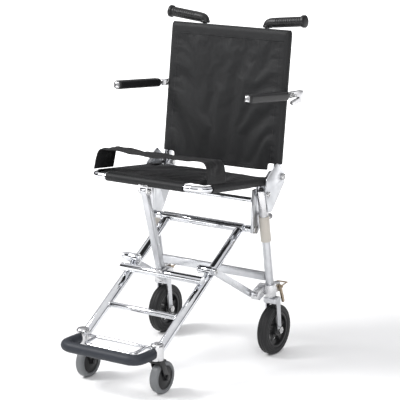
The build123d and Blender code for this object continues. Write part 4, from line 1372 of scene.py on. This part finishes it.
def plain(name, colour, roughness):
    material, tree, shader = new_material(name)
    shader.inputs["Roughness"].default_value = roughness
    grain = place(tree, "ShaderNodeTexNoise", scale=6.0, detail=3.0)
    shade = tuple(c * 0.985 for c in colour)
    tint(tree, grain.outputs[0], colour, shade, shader.inputs["Base Color"])
    return material


FLOOR = 12.0
floor = stage_mesh(
    "floor", [(-FLOOR, -FLOOR, 0), (FLOOR, -FLOOR, 0), (FLOOR, FLOOR, 0), (-FLOOR, FLOOR, 0)],
    [(0, 1, 2, 3)], plain("Paper floor", (0.97, 0.97, 0.97), 0.85)
)
paper = floor.data.materials[0].node_tree
reach = paper.nodes.new("ShaderNodeVectorMath")
reach.operation = "LENGTH"
away = paper.nodes.new("ShaderNodeTexCoord")
glow = place(paper, "ShaderNodeMapRange")
glow.inputs["From Min"].default_value = 0.7      # lit only by the lamps up to here
glow.inputs["From Max"].default_value = 3.0      # and fully bright from here on
glow.inputs["To Max"].default_value = 0.9
paper_shader = paper.nodes["Principled BSDF"]
paper_shader.inputs["Emission Color"].default_value = (1, 1, 1, 1)
join(
    paper,
    (away.outputs["Object"], reach.inputs[0]),
    (reach.outputs["Value"], glow.inputs["Value"]),
    (glow.outputs[0], paper_shader.inputs["Emission Strength"]),
)
board = plain("Dark board", (0.015, 0.015, 0.016), 0.9)
BOARD_FOOT, BOARD_HEAD = 0.35, 2.4
BOARDS = ((-2.1, -0.9, 0.55, 70), (2.7, 0.6, 0.50, -75), (-0.9, -3.4, 0.45, 15))   # x, y, half, turn
for index, (x, y, half_wide, turn) in enumerate(BOARDS):
    side = Vector((cos(radians(turn)), sin(radians(turn)), 0)) * half_wide
    foot, head = Vector((x, y, BOARD_FOOT)), Vector((x, y, BOARD_HEAD))
    stage_mesh(f"board_{index}", [foot - side, foot + side, head + side, head - side], [(0, 1, 2, 3)], board)


def area_light(name, at, target, size, power):
    light = bpy.data.lights.new(name, "AREA")
    light.shape = "DISK"
    light.size = size
    light.energy = power
    lamp = bpy.data.objects.new(name, light)
    lamp.location = at
    lamp.rotation_euler = (Vector(target) - Vector(at)).to_track_quat("-Z", "Y").to_euler()
    bpy.context.scene.collection.objects.link(lamp)


area_light("key", (-2.4, -1.8, 3.2), (0, -0.1, 0.4), 1.6, 150)
area_light("fill", (2.6, -2.6, 2.0), (0, -0.1, 0.4), 2.0, 55)

world = bpy.data.worlds.new("White room")
bpy.context.scene.world = world
world.use_nodes = True
sky = world.node_tree
sky_out = sky.nodes["Background"]
seen = sky.nodes.new("ShaderNodeLightPath")
around = sky.nodes.new("ShaderNodeTexCoord")
height = sky.nodes.new("ShaderNodeSeparateXYZ")
bands = sky.nodes.new("ShaderNodeValToRGB")
ramp = bands.color_ramp
ramp.elements[0].position, ramp.elements[0].color = 0.0, (0.50, 0.50, 0.50, 1)
ramp.elements[1].position, ramp.elements[1].color = 1.0, (1.0, 1.0, 1.0, 1)
for at, grey in ((0.50, 0.35), (0.54, 0.05), (0.62, 0.07), (0.68, 0.50), (0.80, 0.85)):
    ramp.elements.new(at).color = (grey, grey, grey * 1.03, 1)
lift = place(sky, "ShaderNodeMapRange")
lift.inputs["From Min"].default_value = -1.0
choose = sky.nodes.new("ShaderNodeMix")
choose.data_type = "RGBA"
choose.inputs[7].default_value = (1, 1, 1, 1)
join(
    sky,
    (around.outputs["Generated"], height.inputs[0]),
    (height.outputs["Z"], lift.inputs["Value"]),
    (lift.outputs[0], bands.inputs["Fac"]),
    (bands.outputs["Color"], choose.inputs[6]),
    (seen.outputs["Is Camera Ray"], choose.inputs[0]),
    (choose.outputs[2], sky_out.inputs["Color"]),
)
sky_out.inputs["Strength"].default_value = 1.0
bpy.context.scene.view_settings.view_transform = "Standard"
print("studio set")

# %% [markdown]
# ## Camera
# A long lens from in front and to +X, looking down a little from above the chair, so that the
# far wheel is only slightly smaller than the near one.

# %% Camera
CAMERA_ROUND, CAMERA_UP = radians(34.17), radians(12.93)
CAMERA_AWAY = 4.187
CAMERA_LENS = 153.2      # in millimetres, on a 36 mm wide sensor
AXLE_Y = pivots["rear_wheel_spin_right"].y
target = Vector((0, AXLE_Y - 0.084, 0.386))      # a little in front of the rear axle
camera = bpy.data.objects.new("camera", bpy.data.cameras.new("camera"))
camera.data.sensor_width = 36
camera.data.lens = CAMERA_LENS
camera.data.clip_end = 60
camera.location = target + Vector((
    sin(CAMERA_ROUND) * cos(CAMERA_UP), -cos(CAMERA_ROUND) * cos(CAMERA_UP), sin(CAMERA_UP)
)) * CAMERA_AWAY
camera.rotation_euler = (pi / 2 - CAMERA_UP, 0, CAMERA_ROUND)
bpy.context.scene.collection.objects.link(camera)
bpy.context.scene.camera = camera
print("camera at", tuple(round(v, 3) for v in camera.location))

# %% Measure and finish
low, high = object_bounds()
print("visual box", [round(v, 3) for v in high - low])
